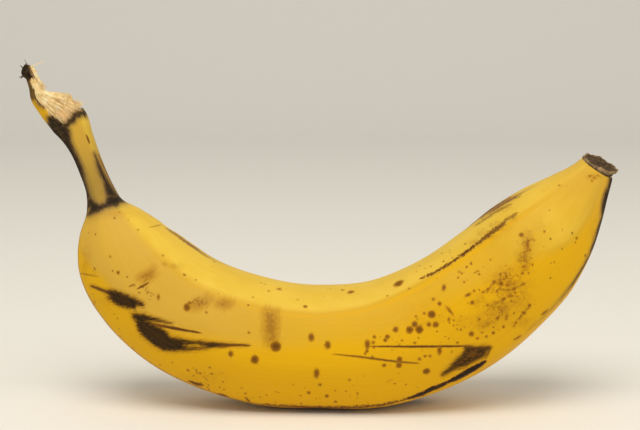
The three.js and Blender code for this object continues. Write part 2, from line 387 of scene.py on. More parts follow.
stretches = [np.linspace(a, b, n, endpoint=False) for a, b, n in RING_STRETCHES]
ring_at = np.concatenate([*stretches, np.linspace(END_FROM, fruit_length, END_RINGS)])
ring_roll = smooth_through(stations[:, 4], ring_at)
round_share = np.linspace(0, 1, AROUND, endpoint=False)
round_angle = 360 * round_share + FRONT_CROWDING * np.cos(2 * np.pi * round_share)
skin_angle = np.broadcast_to(round_angle, (len(ring_at), AROUND))
grid_angle = skin_angle + ring_roll[:, None]
end_share = smooth_step(ring_at, END_FROM, fruit_length)[:, None]
grid_at = ring_at[:, None] - END_TILT * end_share * (1 + np.sin(np.radians(grid_angle)))
grid_points = skin_points(grid_at, grid_angle, skin_lift(grid_at, grid_angle))
grid_points[..., 2] = np.maximum(grid_points[..., 2], 0.0)

along_step = np.gradient(grid_points, axis=0)
round_step = (np.roll(grid_points, -1, axis=1) - np.roll(grid_points, 1, axis=1)) / 2
grid_normal = np.cross(round_step, along_step)
grid_normal /= np.linalg.norm(grid_normal, axis=-1, keepdims=True) + 1e-12
to_camera = camera_place - grid_points
to_camera /= np.linalg.norm(to_camera, axis=-1, keepdims=True)
grid_facing = (grid_normal * to_camera).sum(axis=-1)
grid_photo = photo_place(grid_points)
print("rings:", len(ring_at), "points round each:", AROUND)

# %% [markdown]
# Ripening leaves marks: round sugar spots, black bruises with torn-looking ends, scratches, and
# brown scuffs. They could be painted into an image, but then they would be only as sharp as
# the image. Here each kind of mark is a distance instead, in mm from its nearest edge and
# negative inside, which the material cuts off with a ragged threshold. Marks that a photograph
# shows are placed by their pixels in it, and fall only on skin that faces the camera.

# %% Distances to outlines
FAR = 40.0
SEEN_FROM = -0.25
seen = grid_facing > SEEN_FROM
print("points that the photograph sees:", int(seen.sum()), "of", seen.size)


def closest_on_edges(places, outline, closed):
    """For each place, its nearest edge of the outline: the distance to it, the sideways offset
    from the endless line through it, how far past the outline's ends the place is, and the
    share of the way along the outline."""
    corners = np.asarray(outline, float)
    starts = corners if closed else corners[:-1]
    edge = np.roll(corners, -1, axis=0) - corners if closed else np.diff(corners, axis=0)
    long = np.linalg.norm(edge, axis=-1)
    away = places[:, None, :] - starts
    free = (away * edge).sum(-1) / long ** 2
    share = np.clip(free, 0, 1)
    gap = np.linalg.norm(away - share[..., None] * edge, axis=-1)
    nearest = gap.argmin(axis=1)
    rows = np.arange(len(places))
    edge, away = edge[nearest], away[rows, nearest]
    sideways = (edge[:, 0] * away[:, 1] - edge[:, 1] * away[:, 0]) / long[nearest]
    past = np.abs(free - share)[rows, nearest] * long[nearest]
    return gap[rows, nearest], sideways, past, (nearest + share[rows, nearest]) / len(long)


def inside(places, outline):
    """True where a ray to the right crosses the outline's edges an odd number of times."""
    corners = np.asarray(outline, float)
    ends = np.roll(corners, -1, axis=0)
    x, y = places[:, :1], places[:, 1:]
    crosses = (corners[:, 1] > y) != (ends[:, 1] > y)
    height = np.where(ends[:, 1] == corners[:, 1], 1e-9, ends[:, 1] - corners[:, 1])
    at_x = corners[:, 0] + (y - corners[:, 1]) * (ends[:, 0] - corners[:, 0]) / height
    return (crosses & (x < at_x)).sum(axis=1) % 2 == 1


def near_places(outline, reach):
    """Which seen points of the grid are within reach, in pixels, of the outline's box."""
    corners = np.asarray(outline, float)
    low, high = corners.min(0) - reach, corners.max(0) + reach
    return seen & np.all((grid_photo > low) & (grid_photo < high), axis=-1)


def outline_field(outlines, reach=24.0):
    """The distance in mm to the nearest of the outlines: plus outside, minus inside."""
    field = np.full(grid_at.shape, FAR)
    for outline in outlines:
        near = near_places(outline, reach)
        places = grid_photo[near]
        gap = closest_on_edges(places, outline, True)[0]
        signed = np.where(inside(places, outline), -gap, gap) * PIXEL_MM
        field[near] = np.minimum(field[near], signed)
    return field


def soft_field(ovals):
    """From 0 to 1: the strongest of some bell-shaped ovals (across, down, half width, half
    height, strength) on the seen side."""
    field = np.zeros(grid_at.shape)
    for across, down, half_wide, half_high, strength in ovals:
        x = (grid_photo[..., 0] - across) / half_wide
        y = (grid_photo[..., 1] - down) / half_high
        field = np.maximum(field, strength * np.exp(-(x * x + y * y)) * (grid_facing > 0))
    return field


# %% [markdown]
# A spot or a scratch can be smaller than one face of the mesh, and then a distance is too
# coarse for it: it rises on both sides, and the faces cut off its sharp floor. An offset from
# the middle of the mark does not have that trouble, because it changes evenly over a face. So
# each small mark gives the skin round it an offset and a size. Spots close together would
# mix up their offsets, so they are dealt out to groups in which no two are close.

# %% Offsets from spots and lines
EXACT_MM = 0.9
FADE_MM = 0.6
NO_MARK = -1.5


def spot_axes(tilt):
    """The picture's right and up directions, turned by a tilt in degrees."""
    turn = math.radians(tilt)
    wide = camera_right * math.cos(turn) + camera_up * math.sin(turn)
    high = camera_up * math.cos(turn) - camera_right * math.sin(turn)
    return wide, high


def seen_spots(spots):
    """Spots as (centre, the three axes each over its half size, least half size), in mm. The
    centre is the seen point of the grid that is nearest to the spot's pixel."""
    front = grid_facing > 0.02
    places, points = grid_photo[front], grid_points[front]
    found = []
    for across, down, half_wide, *shape in spots:
        half_high = shape[0] if shape else half_wide
        centre = points[np.hypot(places[:, 0] - across, places[:, 1] - down).argmin()]
        slip = np.array([across, down]) - photo_place(centre)
        centre = centre + PIXEL_MM * (slip[0] * camera_right - slip[1] * camera_up)
        wide, high = spot_axes(shape[1] if len(shape) > 1 else 0)
        sizes = np.array([half_wide, half_high, max(half_wide, half_high)]) * PIXEL_MM
        axes = np.array([wide, high, camera_forward]) / sizes[:, None]
        found.append((centre, axes, sizes.min(), sizes.max()))
    return found


def hidden_spots(count, largest):
    """Round spots at random places of the skin that faces away, most of them small."""
    body = (grid_at > collar_at + 8) & (grid_at < fruit_length - 12) & (grid_facing < -0.15)
    choices = grid_points[body]
    found = []
    for _ in range(count):
        radius = largest * (0.15 + 0.85 * random.random() ** 2.5)
        centre = choices[random.integers(len(choices))]
        found.append((centre, np.eye(3) / radius, radius, radius))
    return found


def deal_out(spots):
    """Puts each spot, largest first, in the first group that has no other spot near it."""
    groups = []
    for spot in sorted(spots, key=lambda one: -one[3]):
        for group in groups:
            gaps = [np.linalg.norm(spot[0] - other[0]) - spot[3] - other[3] for other in group]
            if min(gaps) > 2 * EXACT_MM + FADE_MM:
                group.append(spot)
                break
        else:
            groups.append([spot])
    return groups


def spot_offsets(group):
    """The scaled offset from the nearest spot of a group, whose length is that spot's size at
    its edge, and the size, which fades to none away from the spot."""
    offset = np.zeros(grid_points.shape)
    size = np.full(grid_at.shape, NO_MARK)
    for centre, axes, least, most in group:
        away = grid_points - centre
        gap = np.linalg.norm(away, axis=-1) - most
        near = gap < EXACT_MM + FADE_MM
        offset[near] = away[near] @ axes.T * least
        fade = smooth_step(gap[near], EXACT_MM, EXACT_MM + FADE_MM)
        size[near] = least + (NO_MARK - least) * fade
    return offset, size


def line_offsets(lines):
    """The sideways offset from the nearest line, its half width, which tapers to the line's
    ends, its darkness and how broken it is."""
    across, darkness, breaks = np.zeros((3, *grid_at.shape))
    half = np.full(grid_at.shape, NO_MARK)
    for thickness, dark, broken, line in lines:
        near = near_places(line, (EXACT_MM + FADE_MM) / PIXEL_MM)
        gap, sideways, past, share = closest_on_edges(grid_photo[near], line, False)
        own = thickness / 2 * PIXEL_MM * np.sqrt(np.clip(4 * share * (1 - share), 0, 1))
        own = own - past * PIXEL_MM
        fade = smooth_step(gap * PIXEL_MM, EXACT_MM, EXACT_MM + FADE_MM)
        own = own + (NO_MARK - own) * fade
        better = own - np.abs(sideways) * PIXEL_MM > half[near] - np.abs(across[near])
        across[near] = np.where(better, sideways * PIXEL_MM, across[near])
        half[near] = np.where(better, own, half[near])
        darkness[near] = np.where(better, dark, darkness[near])
        breaks[near] = np.where(better, broken, breaks[near])
    return {"line_across": across, "line_half": half, "line_dark": darkness, "line_broken": breaks}


# %% [markdown]
# The lists below say where the marks are. Bruises and scuffs are outlines, because their shapes are their
# own. Scratches and worn edges are lines with a thickness, and so is a painted shadow along the underside
# where the fruit rests; sugar spots are ovals.
# Stained skin has no edge, so it is a few soft ovals that only say how strong the stain is, and
# freckles are left to a pattern that such ovals switch on. Places and sizes are in pixels.

# %% Where the marks are, in pixels of the photograph
LEFT_BRUISE_UPPER = [
    (90.7, 285.9), (97.6, 287.6), (104.4, 290.5), (110.2, 289.4), (115.9, 290.5), (124, 293.4),
    (132, 296.8), (138.9, 300.3), (144.1, 303.1), (143.5, 306.6), (136.6, 306.6), (135.4, 309.5),
    (127.4, 308.3), (118.2, 306), (112.5, 302), (106.7, 297.4), (110.2, 296.3), (105.6, 292.2),
    (98.7, 289.4),
]
LEFT_BRUISE_LOBE = [
    (131.3, 313), (144.2, 314.2), (153.3, 316.7), (163.3, 320), (172.5, 323.6), (163.3, 323),
    (155, 321.9), (146.7, 321.6), (140, 324), (135, 321), (132.3, 317),
]
LEFT_BRUISE_LOWER = [
    (134, 318.5), (144, 319), (150, 322.4), (155, 325), (160, 327.5), (166.7, 331.7), (170.8, 336.7),
    (178.3, 338.3), (188.3, 340), (203.3, 341.3), (216.7, 342.5), (230, 344.2), (248.3, 345.3),
    (230, 345.9), (221.7, 347), (211.7, 348), (200, 349.7), (186.7, 350.8), (173.3, 351.3),
    (163.3, 350.8), (153.3, 345), (143.3, 336.7), (137.5, 330), (135.8, 323.3),
]
RIGHT_BRUISE = [
    (464.4, 346.4), (489.3, 345.7), (491.8, 347.7), (487.4, 351.5), (484.8, 356.6), (463.8, 367.4),
    (455.5, 369.3), (447.2, 374.4), (442.1, 376.4), (440.8, 374.4), (448.5, 367.4), (454.8, 360.4),
    (461.2, 355.3), (463.8, 350.2),
]
LEFT_BRUISES = [LEFT_BRUISE_UPPER, LEFT_BRUISE_LOBE, LEFT_BRUISE_LOWER]
BRUISE_HOLE = [
    (184, 345.8), (190, 344.7), (199, 345.1), (206, 346.1), (198, 346.9), (189, 347.1),
]

# %% Where the lines are: scratches, worn edges, streaks of stain and a painted contact shadow
# Each line is its thickness in pixels, its darkness, how broken it is in mm, and its points.
MARK_AND_SHADOW_LINES = [
    (2.0, 0.85, 0.3, [(370, 346.4), (420, 346.6), (474, 346)]),
    (1.8, 0.6, 0.4, [(332, 354), (359, 356.7), (380, 359.5), (398.6, 361.8), (420, 363.4)]),
    (1.2, 0.35, 0.4, [(80.3, 273.3), (98.7, 276.7)]),
    (2.0, 0.75, 0.8, [(137.2, 288.8), (149.2, 282.5)]),
    (1.4, 0.5, 0.8, [(128.6, 287), (134.9, 284.2)]),
    (1.0, 0.2, 0.3, [(385.9, 382.8), (392.9, 378.9)]),
    (1.6, 0.6, 0.5, [(244.9, 397), (250.4, 402.4)]),
    (2.4, 0.8, 0.5, [(188, 380.6), (197.6, 384.2), (204, 385.6)]),
    (1.8, 0.7, 0.5, [(217, 393.4), (228, 396.6)]),
    (1.4, 0.45, 0.4, [(93.6, 267), (95.6, 270.6)]),
    (2.2, 0.7, 2.0, [(419, 279), (434, 273), (447, 265), (458, 257.6)]),
    (2.6, 0.8, 2.2, [(452, 262), (464.8, 252.8), (475, 245.4), (486, 237)]),
    (4.2, 0.6, 2.8, [(478, 243), (487, 236), (497, 228.6), (506, 222)]),
    (2.6, 0.4, 2.4, [(498, 226), (508, 219), (518, 212.5)]),
    (2.6, 0.35, 2.0, [(480, 219), (489, 211.6), (499, 205), (513, 197)]),
    (2.6, 0.9, 0.3, [(89.7, 285.6), (98, 288.4), (108, 292.6), (118, 297)]),
    (2.8, 0.85, 0.5, [(146, 322.4), (160, 325.6), (176, 328.6), (202, 333.2)]),
    (2.4, 0.9, 0.3, [(205, 343.6), (228, 344.8), (251, 345.4)]),
    (4.4, 0.95, 1.0, [(404, 399.6), (421.7, 394), (431.9, 388.8), (440.8, 385.6), (453.6, 379.6)]),
    (5.6, 1.0, 1.0, [(446, 383), (458, 377.4), (468, 371.6), (477, 366.6), (487, 360.6)]),
    (2.2, 0.6, 0.8, [(484.8, 358), (488, 353.4), (491.5, 347.5)]),
    # Painted shadow, not a mark: a dark line along the underside where the fruit rests on the table.
    (2.4, 0.65, 2.4, [(404, 400), (392, 403), (376, 405.6), (350, 407.6), (310, 407.4), (262, 404.4)]),
    (1.6, 0.8, 0.4, [(86.2, 134.5), (88, 139), (89.6, 144)]),
    (1.8, 0.3, 2.6, [(500.4, 274), (501, 283.9), (499.8, 288.3), (506, 290.1), (514, 288.9), (526, 283)]),
    (1.8, 0.25, 2.6, [(494, 304.3), (503.5, 299.5), (509.8, 295.8), (519, 296.4)]),
    (1.6, 0.25, 2.6, [(530.4, 304), (524, 313), (519.8, 317.6), (513, 326.6)]),
    (2.0, 0.2, 2.6, [(528, 240), (527, 250), (523.5, 262)]),
    (1.6, 0.25, 2.6, [(482, 292.6), (488, 289.3), (494, 282.6), (501, 284)]),
    (1.4, 0.4, 0.8, [(190.4, 304), (194.6, 300), (199.4, 297)]),
    (1.2, 0.32, 0.8, [(193.4, 308.6), (196, 303.6), (199, 299.6)]),
    (1.2, 0.28, 0.8, [(197, 309), (200, 304.4), (203.4, 300.4)]),
    (1.2, 0.24, 0.8, [(201, 309), (204.4, 304.8), (208, 301.4)]),
    (1.2, 0.25, 0.3, [(145, 290.2), (150, 292.4), (155, 296)]),
    (2.2, 0.3, 0.5, [(141, 277.6), (147, 274.8), (153, 271.2)]),
    (2.4, 0.4, 1.4, [(166, 228), (178, 236), (188, 243.2), (199, 250)]),
    (1.0, 0.3, 0.8, [(149, 227.6), (155, 226.2), (161, 224.8)]),
    (2.2, 0.36, 1.4, [(474, 226.6), (487, 217.6), (499, 210), (512, 203.4)]),
    (2.0, 0.32, 1.2, [(486, 214.4), (498, 206), (510, 199.8), (522, 195.4)]),
    (1.4, 0.75, 0.5, [(94.6, 153.4), (97, 160), (100.5, 168), (104, 177), (105.6, 187)]),
    (1.3, 0.6, 0.8, [(98, 154), (101.4, 161), (105.8, 170), (110.4, 179.6), (115, 189)]),
]

# %% Where the spots are
# Each spot is its middle across and down and its radius. An oval has its half width and half
# height in place of the radius, and its tilt in degrees where it leans.
SUGAR_SPOTS = [
    (275.8, 346.6, 5.3), (254.7, 359.6, 4, 4.6), (230.6, 353.8, 2.5, 3.1), (311.3, 337.2, 2.8, 4),
    (327.7, 345, 3, 3.8), (249, 332.5, 1.2), (316.6, 373.5, 2.6, 5.3), (320, 384.7, 1.7),
    (308.9, 392.7, 1.8), (326.7, 396.2, 2), (335.7, 401.4, 1.5), (349.4, 379.9, 1.2),
    (300.5, 395.5, 0.8), (367.3, 344.5, 2.6, 4.6), (367, 350.8, 1.8), (374.4, 336.8, 1.6),
    (373.3, 342.4, 1.6), (374, 347.3, 1.2), (387.3, 336.8, 2.3), (385.2, 340, 2),
    (395.7, 329.5, 2.8), (409.8, 329.8, 3.8), (414.7, 324.2, 3.3), (419.3, 329.4, 4),
    (431.8, 314.4, 3.8), (439.5, 303.6, 2), (433.3, 299.2, 1.5), (443.9, 287.7, 2, 3.2, -10),
    (429, 324.6, 2.3), (435.7, 324.6, 3), (449.8, 310.9, 1.4, 5.2, 38), (449, 319.6, 1.5),
    (424.2, 313.2, 1.2), (415.8, 316.2, 1), (401.8, 340.5, 1), (414.7, 343, 1.2), (425.2, 356, 1.3),
    (430, 356.2, 1.5), (419.5, 359.2, 1.7), (439.5, 350.5, 2.3, 4.6), (399.5, 359.3, 2.7),
    (399, 365.3, 3), (384.2, 365.3, 2), (426.4, 371.3, 3.6), (457.4, 342.6, 1.2),
    (398.6, 283.5, 5.4, 3.4, 32), (350.8, 292.1, 3.4, 1.9, 22), (342.7, 290.1, 1.5),
    (305.2, 306.6, 1.8), (279.3, 289.1, 2.2, 1.3), (268.8, 291.2, 1), (253.3, 297.2, 0.8),
    (297.8, 299.6, 0.7), (409, 288.4, 1), (387.3, 296, 0.9), (430.4, 266.2, 0.8),
    (118.2, 272.5, 1.6), (110.2, 256.6, 0.9), (158.4, 296.8, 1.2, 2.5), (186.8, 307.2, 3.3, 4),
    (189.5, 303, 1.6), (163, 255.5, 0.8), (214, 261.8, 1), (151, 216.4, 0.8), (138, 229.8, 1),
    (128.5, 219.5, 0.6), (119.4, 212.2, 0.6), (521.5, 234.9, 2.2), (576.8, 238.2, 1.5),
    (559.4, 185.6, 1.2), (544.4, 231.7, 1), (472.3, 302.5, 2), (468, 295, 3.2, 1.5, 30),
    (471.5, 334, 2.6), (477.3, 338.2, 1.5), (486.4, 336.5, 1.3), (493.5, 332.9, 1.8),
    (503.8, 327, 1.2), (482.2, 332.4, 1), (517.9, 337.3, 3.2, 1.2, 32),
    (544.4, 312.5, 3.4, 1.2, 38), (209.8, 367.5, 1), (187.7, 370.2, 1.2), (196, 369.5, 0.8),
    (196.8, 372.5, 0.8), (204.5, 377.5, 0.8), (206.4, 379.4, 0.8), (207.5, 387, 0.9),
    (224, 389.6, 0.8), (266.5, 395, 0.8), (172.6, 362.5, 1), (89, 296, 0.9), (95, 302, 0.9),
    (120, 336, 0.8), (133, 348, 0.9), (160, 365, 0.8), (494.1, 282.6, 1.6), (487.9, 289.3, 1.5),
    (483.3, 292, 1.5, 1.1), (501, 283.6, 2.4, 2), (500.4, 273.9, 1.2), (505.4, 273.3, 1.1),
    (511, 301.4, 1.2), (497.3, 318.3, 1.8), (506.6, 318.9, 1.2), (524, 312.6, 2.6, 1.4, -20),
    (519.8, 317.6, 1.4), (516, 322.4, 1.3), (513.5, 326.1, 1), (503.5, 326.6, 1.3),
    (529.5, 305.6, 1.6, 2.0), (487.9, 305.1, 1.1), (474.1, 290.8, 1), (459.1, 272, 0.9),
    (461.6, 273.3, 0.9), (457.9, 277.6, 0.9), (464.1, 282, 1), (477.3, 271.4, 0.8),
    (503.6, 299.2, 2.2, 1.6, 30), (510, 296, 1.8, 1.2), (522.4, 284, 1.8, 1.2, 30), (514, 289, 1.4),
    (527.6, 244, 1.3, 3.2), (523.5, 266.4, 1.5), (522.3, 273.3, 1.2), (590, 176, 1.3, 0.9),
    (594.5, 178, 1.1, 0.8), (598, 175.6, 0.9, 0.7), (592, 181, 0.8), (530, 250, 0.9),
    (524, 252, 0.9), (531, 258, 0.8), (534, 240, 0.8), (508, 285, 1.4), (497, 291, 1.2),
    (504, 279, 1.1), (515, 293, 1.1),
]

# %% Where the skin is scuffed, stained and freckled
UPRIGHT_SCUFF = [(261, 309), (266, 306), (279, 308), (281, 322), (279, 347), (266, 346), (262, 330)]
SHOULDER_SCUFF = [(139, 279), (145, 274), (153, 268), (156, 272), (149, 279), (143, 282)]
SMALL_SCUFF = [(218, 303), (224, 300), (231, 302), (229, 306), (221, 307)]
HATCH_SCUFF = [(190, 309), (196, 300), (207, 296), (213, 300), (203, 307)]
SCUFFS = [SHOULDER_SCUFF, SMALL_SCUFF, HATCH_SCUFF]

# Each oval is its middle across and down, its half width and half height, and its strength.
# Where ovals overlap, the strongest counts.
STAINS = [
    (508, 284, 18, 15, 0.9), (524, 262, 8, 14, 0.8), (528, 244, 7, 13, 0.8), (498, 310, 15, 11, 0.9),
    (484, 322, 14, 8, 0.6), (470, 322, 20, 9, 0.3), (516, 300, 14, 12, 0.6), (480, 300, 12, 10, 0.35),
    (540, 226, 8, 8, 0.25), (520, 322, 14, 6, 0.4), (147, 276, 8, 4, 0.6), (225, 303.5, 9, 4, 0.6),
    (176, 266, 7, 3, 0.45), (270, 330, 8, 20, 0.3), (86, 262, 5, 16, 0.4), (118, 300, 24, 7, 0.3),
    (168, 336, 34, 12, 0.25), (470, 362, 20, 12, 0.35), (500, 207, 13, 6, 0.4),
    (594, 177, 7, 2.6, 0.7), (165, 264, 3, 2, 0.5), (596, 236, 5, 20, 0.35), (120, 214, 20, 5, 0.25),
    (206, 378, 22, 8, 0.25), (430, 318, 30, 16, 0.22), (487, 234, 9, 5, 0.7), (499, 226, 9, 5, 0.7),
    (476, 242, 8, 4, 0.5), (510, 218, 8, 4, 0.4), (490, 208, 8, 6, 0.6), (504, 198, 10, 5, 0.7),
]
FRECKLE_FIELDS = [
    (506, 284, 20, 20, 0.5), (512, 314, 22, 11, 0.55), (528, 248, 9, 18, 0.55), (148, 293, 9, 6, 0.7),
    (455, 320, 26, 16, 0.4), (206, 378, 22, 9, 0.5), (478, 270, 20, 14, 0.35), (400, 344, 40, 16, 0.2),
    (130, 225, 40, 16, 0.12), (110, 320, 24, 40, 0.12), (300, 395, 110, 10, 0.2),
    (560, 240, 30, 40, 0.12), (320, 290, 160, 20, 0.05), (455, 262, 30, 14, 0.25),
]
print("lines:", len(MARK_AND_SHADOW_LINES), "spots:", len(SUGAR_SPOTS), "stains:", len(STAINS))

# %% [markdown]
# The side that the photograph doesn't show is finished to the same recipe, with marks of the
# same kinds in places of its own. Random draws are seeded, so that each run gives the same
# fruit. A random spot picks a point of the grid, so it is always on the skin.

# %% Marks on the hidden side and along the ridges
HIDDEN_SPOTS = 80
HIDDEN_LARGEST = 1.3
EDGE_DASHES = 22
EDGE_DASH_STRETCH = (72, 150)
EDGE_DASH_ANGLE = 159.0
# The right bruise is browner than the others: its black starts further in, by this distance.
PALER_MM = 0.4
FAINTER_MM = 0.8


def edge_dashes():
    """Small dark dashes along the fruit at random places of the worn outer edge of the bend."""
    found = []
    for at in random.uniform(*EDGE_DASH_STRETCH, EDGE_DASHES):
        angle = EDGE_DASH_ANGLE + random.uniform(-9, 9)
        centre, ahead = skin_points(np.array([at, at + 0.5]), np.array([angle, angle]))
        ahead = (ahead - centre) / np.linalg.norm(ahead - centre)
        across = np.cross(ahead, camera_forward)
        across /= np.linalg.norm(across)
        sizes = np.array([random.uniform(0.4, 1.1), random.uniform(0.18, 0.4), 1.0])
        axes = np.array([ahead, across, np.cross(ahead, across)]) / sizes[:, None]
        found.append((centre, axes, sizes.min(), sizes[0]))
    return found


def streak(field, at_middle, angle_middle, length, width):
    """Lowers a distance field by a long egg about a place along and an angle round."""
    off_along = (grid_at - at_middle) / length
    off_round = arc(skin_angle, angle_middle, grid_at) / width
    size = np.sqrt(off_along ** 2 + off_round ** 2)
    return np.minimum(field, (size - 1) * width)


# Each is a place along in mm, an angle round in degrees, a half length and a half width in mm.
RIDGE_WEAR = [
    (79, 2, 8, 0.8), (88, 352, 6, 0.4), (205, 3, 9, 1.6), (211, 14, 6, 0.8), (150, 340, 16, 0.4),
    (78, 144, 14, 0.3), (97, 143, 12, 0.4), (116, 143, 12, 0.35), (170, 300, 20, 0.3), (70, 298, 12, 0.3),
]
HIDDEN_BRUISES = [
    (95, 242, 8, 1.7), (101, 247, 8, 0.8), (90, 237, 6, 0.7), (97, 236, 5, 0.6), (160, 262, 5, 2.0),
    (165, 269, 7, 0.8), (156, 255, 4, 0.9), (170, 261, 5, 0.4), (187, 215, 13, 0.8),
    (181, 219, 8, 0.5), (128, 296, 4, 0.6), (131, 299, 3, 0.4), (112, 190, 8, 0.7), (118, 186, 5, 0.4),
]

# %% [markdown]
# Now every kind of mark gets one field over the whole skin. Marks of one kind are joined by the
# least of their distances, which melts them together where they touch. The upright scuff is
# fainter than the rest, so its distance is raised, and a raised distance is cut off later.

# %% Give each mark its field
spot_groups = deal_out(seen_spots(SUGAR_SPOTS) + edge_dashes())
spot_groups += deal_out(hidden_spots(HIDDEN_SPOTS, HIDDEN_LARGEST))
right_bruise = outline_field([RIGHT_BRUISE])
bruise_field = np.minimum(outline_field(LEFT_BRUISES), right_bruise)
bruise_field = np.maximum(bruise_field, -outline_field([BRUISE_HOLE]))
for bruise in HIDDEN_BRUISES:
    bruise_field = streak(bruise_field, *bruise)
wear_field = np.full(grid_at.shape, FAR)
for wear in RIDGE_WEAR:
    wear_field = streak(wear_field, *wear)
scuff_field = np.minimum(outline_field(SCUFFS), outline_field([UPRIGHT_SCUFF]) + FAINTER_MM)
fields = {"bruise": bruise_field, "scuff": scuff_field, "wear": wear_field}
on_right = right_bruise < bruise_field + 0.01
fields["black"] = np.where(on_right, right_bruise + PALER_MM, bruise_field)
fields.update(line_offsets(MARK_AND_SHADOW_LINES))
fields["mottled"] = right_bruise
fields["stain"] = soft_field(STAINS)
back_freckles = 0.10 + 0.10 * np.sin(0.09 * grid_at + np.radians(2 * grid_angle))
fields["freckle"] = np.where(grid_facing > 0, soft_field(FRECKLE_FIELDS), back_freckles)
spot_count = sum(len(group) for group in spot_groups)
print("groups of spots:", len(spot_groups), "with", spot_count, "spots")

# %% [markdown]
# Dry skin is dark brown in a few places that belong to the plant's build: the collar where the stalk
# meets the fruit, bands down the stalk, the cut rim of the torn peel, and lines that run down from the
# flower scar. Those go right round the stalk, so they are ruled by the place along and the angle, with
# outlines from the photograph on the side that it shows. The band down the stalk's right side is partly
# dry skin and partly painted shade on that side.

# %% Dry dark skin, and painted shade on the stalk's right side
COLLAR_OUTLINE = [
    (89.9, 207.8), (86.5, 215.3), (89, 216), (97.3, 212), (99.8, 212), (104.8, 208.7), (113, 206.2),
    (117.2, 206.6), (120.5, 203), (125.5, 202), (124.7, 199.6), (118, 194.6), (107.3, 196.2),
    (104.8, 202.9), (99, 204.5), (94.8, 202), (90.7, 197), (87, 200), (84, 214),
]
STALK_LEFT_BAND = [
    (47, 117), (53, 115), (60, 120), (64, 124), (69.8, 129), (71, 140.7), (76, 153), (82.5, 166.4),
    (85.7, 180.5), (90.7, 197), (84, 204), (78, 190), (70, 165), (58, 145), (48, 130),
]
# Partly dry skin and partly painted shade on the stalk's right side.
STALK_RIGHT_BAND_AND_SHADE = [
    (94, 153), (96.5, 157), (99.5, 164), (103, 171), (108, 180), (114, 190), (119, 197), (107, 197),
    (105, 190), (103.5, 182), (100, 175), (96.5, 164),
]
DARK_OUTLINES = [COLLAR_OUTLINE, STALK_LEFT_BAND, STALK_RIGHT_BAND_AND_SHADE]
FLAP_TOP = [
    (25, 82), (37, 82), (37.5, 92), (40, 99), (44, 107), (40, 105), (35, 99), (31, 99), (26, 96),
]
# The flap's top is only half dry, so its distance never falls below this.
HALF_DRY_MM = -0.3
COLLAR_HALF_LENGTH = 2.6
RIM_BAND_MIDDLE = 0.7
RIM_BAND_HALF = 0.85
RIM_BAND_PAST = 0.4
NUB_HALF_ANGLE = 142.0
NUB_DEEPEST_MM = 1.1
DRY_STREAKS = [
    (38, 200, 14, 1.5), (33, 256, 9, 1.1), (44, 294, 8, 0.9), (236, 143, 5, 1.6), (230, 142, 4.5, 2.0),
    (223, 141.5, 9, 1.0), (212, 141, 8, 0.5), (228, 205, 8, 0.6), (230, 290, 5, 0.5),
]

turn = np.radians(grid_angle)
half_dry = np.maximum(outline_field([FLAP_TOP]), 0) + HALF_DRY_MM
dark_field = np.minimum(outline_field(DARK_OUTLINES), half_dry)
collar_wave = 0.9 * np.sin(3 * turn) + 0.6 * np.sin(7 * turn + 1)
collar_back = np.abs(grid_at - collar_at - 1.0 - collar_wave) - COLLAR_HALF_LENGTH
dark_field = np.where(grid_facing < 0, np.minimum(dark_field, collar_back), dark_field)
window_middle = (TORN_FROM_ANGLE + TORN_TO_ANGLE) / 2
window_half = arc(TORN_TO_ANGLE, window_middle, grid_at)
outside_window = np.abs(arc(grid_angle, window_middle, grid_at)) - window_half
rim_band = np.abs(grid_at - torn_rim - RIM_BAND_MIDDLE - rim_wave(grid_angle)) - RIM_BAND_HALF
dark_field = np.minimum(dark_field, np.maximum(rim_band, outside_window - RIM_BAND_PAST))
for band in DRY_STREAKS:
    dark_field = streak(dark_field, *band)
nub_end = grid_at - NUB_LENGTH + 0.6 * np.sin(2 * turn + 1) + 0.4 * np.sin(5 * turn)
nub_half = arc(NUB_BACK_ANGLE + NUB_HALF_ANGLE, NUB_BACK_ANGLE, grid_at)
nub_side = np.abs(arc(grid_angle, NUB_BACK_ANGLE, grid_at)) - nub_half
nub = np.maximum(np.maximum(nub_end, nub_side), -NUB_DEEPEST_MM)
fields["dark"] = np.where(nub < 0, nub, np.minimum(dark_field, nub))
fields["torn"] = -torn_edges(grid_at, grid_angle)
print("dry skin covers", int((fields["dark"] < 0).sum()), "points")

# %% [markdown]
# Each material starts from its real substance. Helpers come first: hex colours are what a
# painter's swatch gives, but a renderer works in linear light, so one function converts them.
# Another adds a node with its settings and its links, which is all that building a node tree
# takes.

# %% Helpers for materials


def colour(hex_code):
    """An sRGB hex colour as linear red, green, blue and full alpha, by the sRGB curve."""
    parts = [int(hex_code[i:i + 2], 16) / 255 for i in (0, 2, 4)]
    linear = [p / 12.92 if p <= 0.04045 else ((p + 0.055) / 1.055) ** 2.4 for p in parts]
    return (*linear, 1.0)


def add(tree, kind, settings, out=0):
    """A node of the given kind, of which one output is given back. Each setting is a property
    or an input: an input takes a value or another node's output, and a ramp its stops."""
    node = tree.nodes.new("ShaderNode" + kind)
    for name, value in settings.items():
        if name == "stops":
            for position, code in value[1:-1]:
                node.color_ramp.elements.new(position)
            for element, (position, code) in zip(node.color_ramp.elements, value):
                element.position = position
                element.color = colour(code)
        elif isinstance(value, bpy.types.NodeSocket):
            tree.links.new(value, node.inputs[name])
        elif isinstance(name, str) and hasattr(node, name):
            setattr(node, name, value)
        else:
            node.inputs[name].default_value = value
    return node.outputs[out] if node.outputs else None


def new_material(name, settings):
    """A material with one shader, whose inputs are set. Returns the material and its tree."""
    material = bpy.data.materials.new(name)
    material.use_nodes = True
    tree = material.node_tree
    shader = tree.nodes["Principled BSDF"]
    for key, value in settings.items():
        shader.inputs[key].default_value = value
    return material, tree, shader.inputs
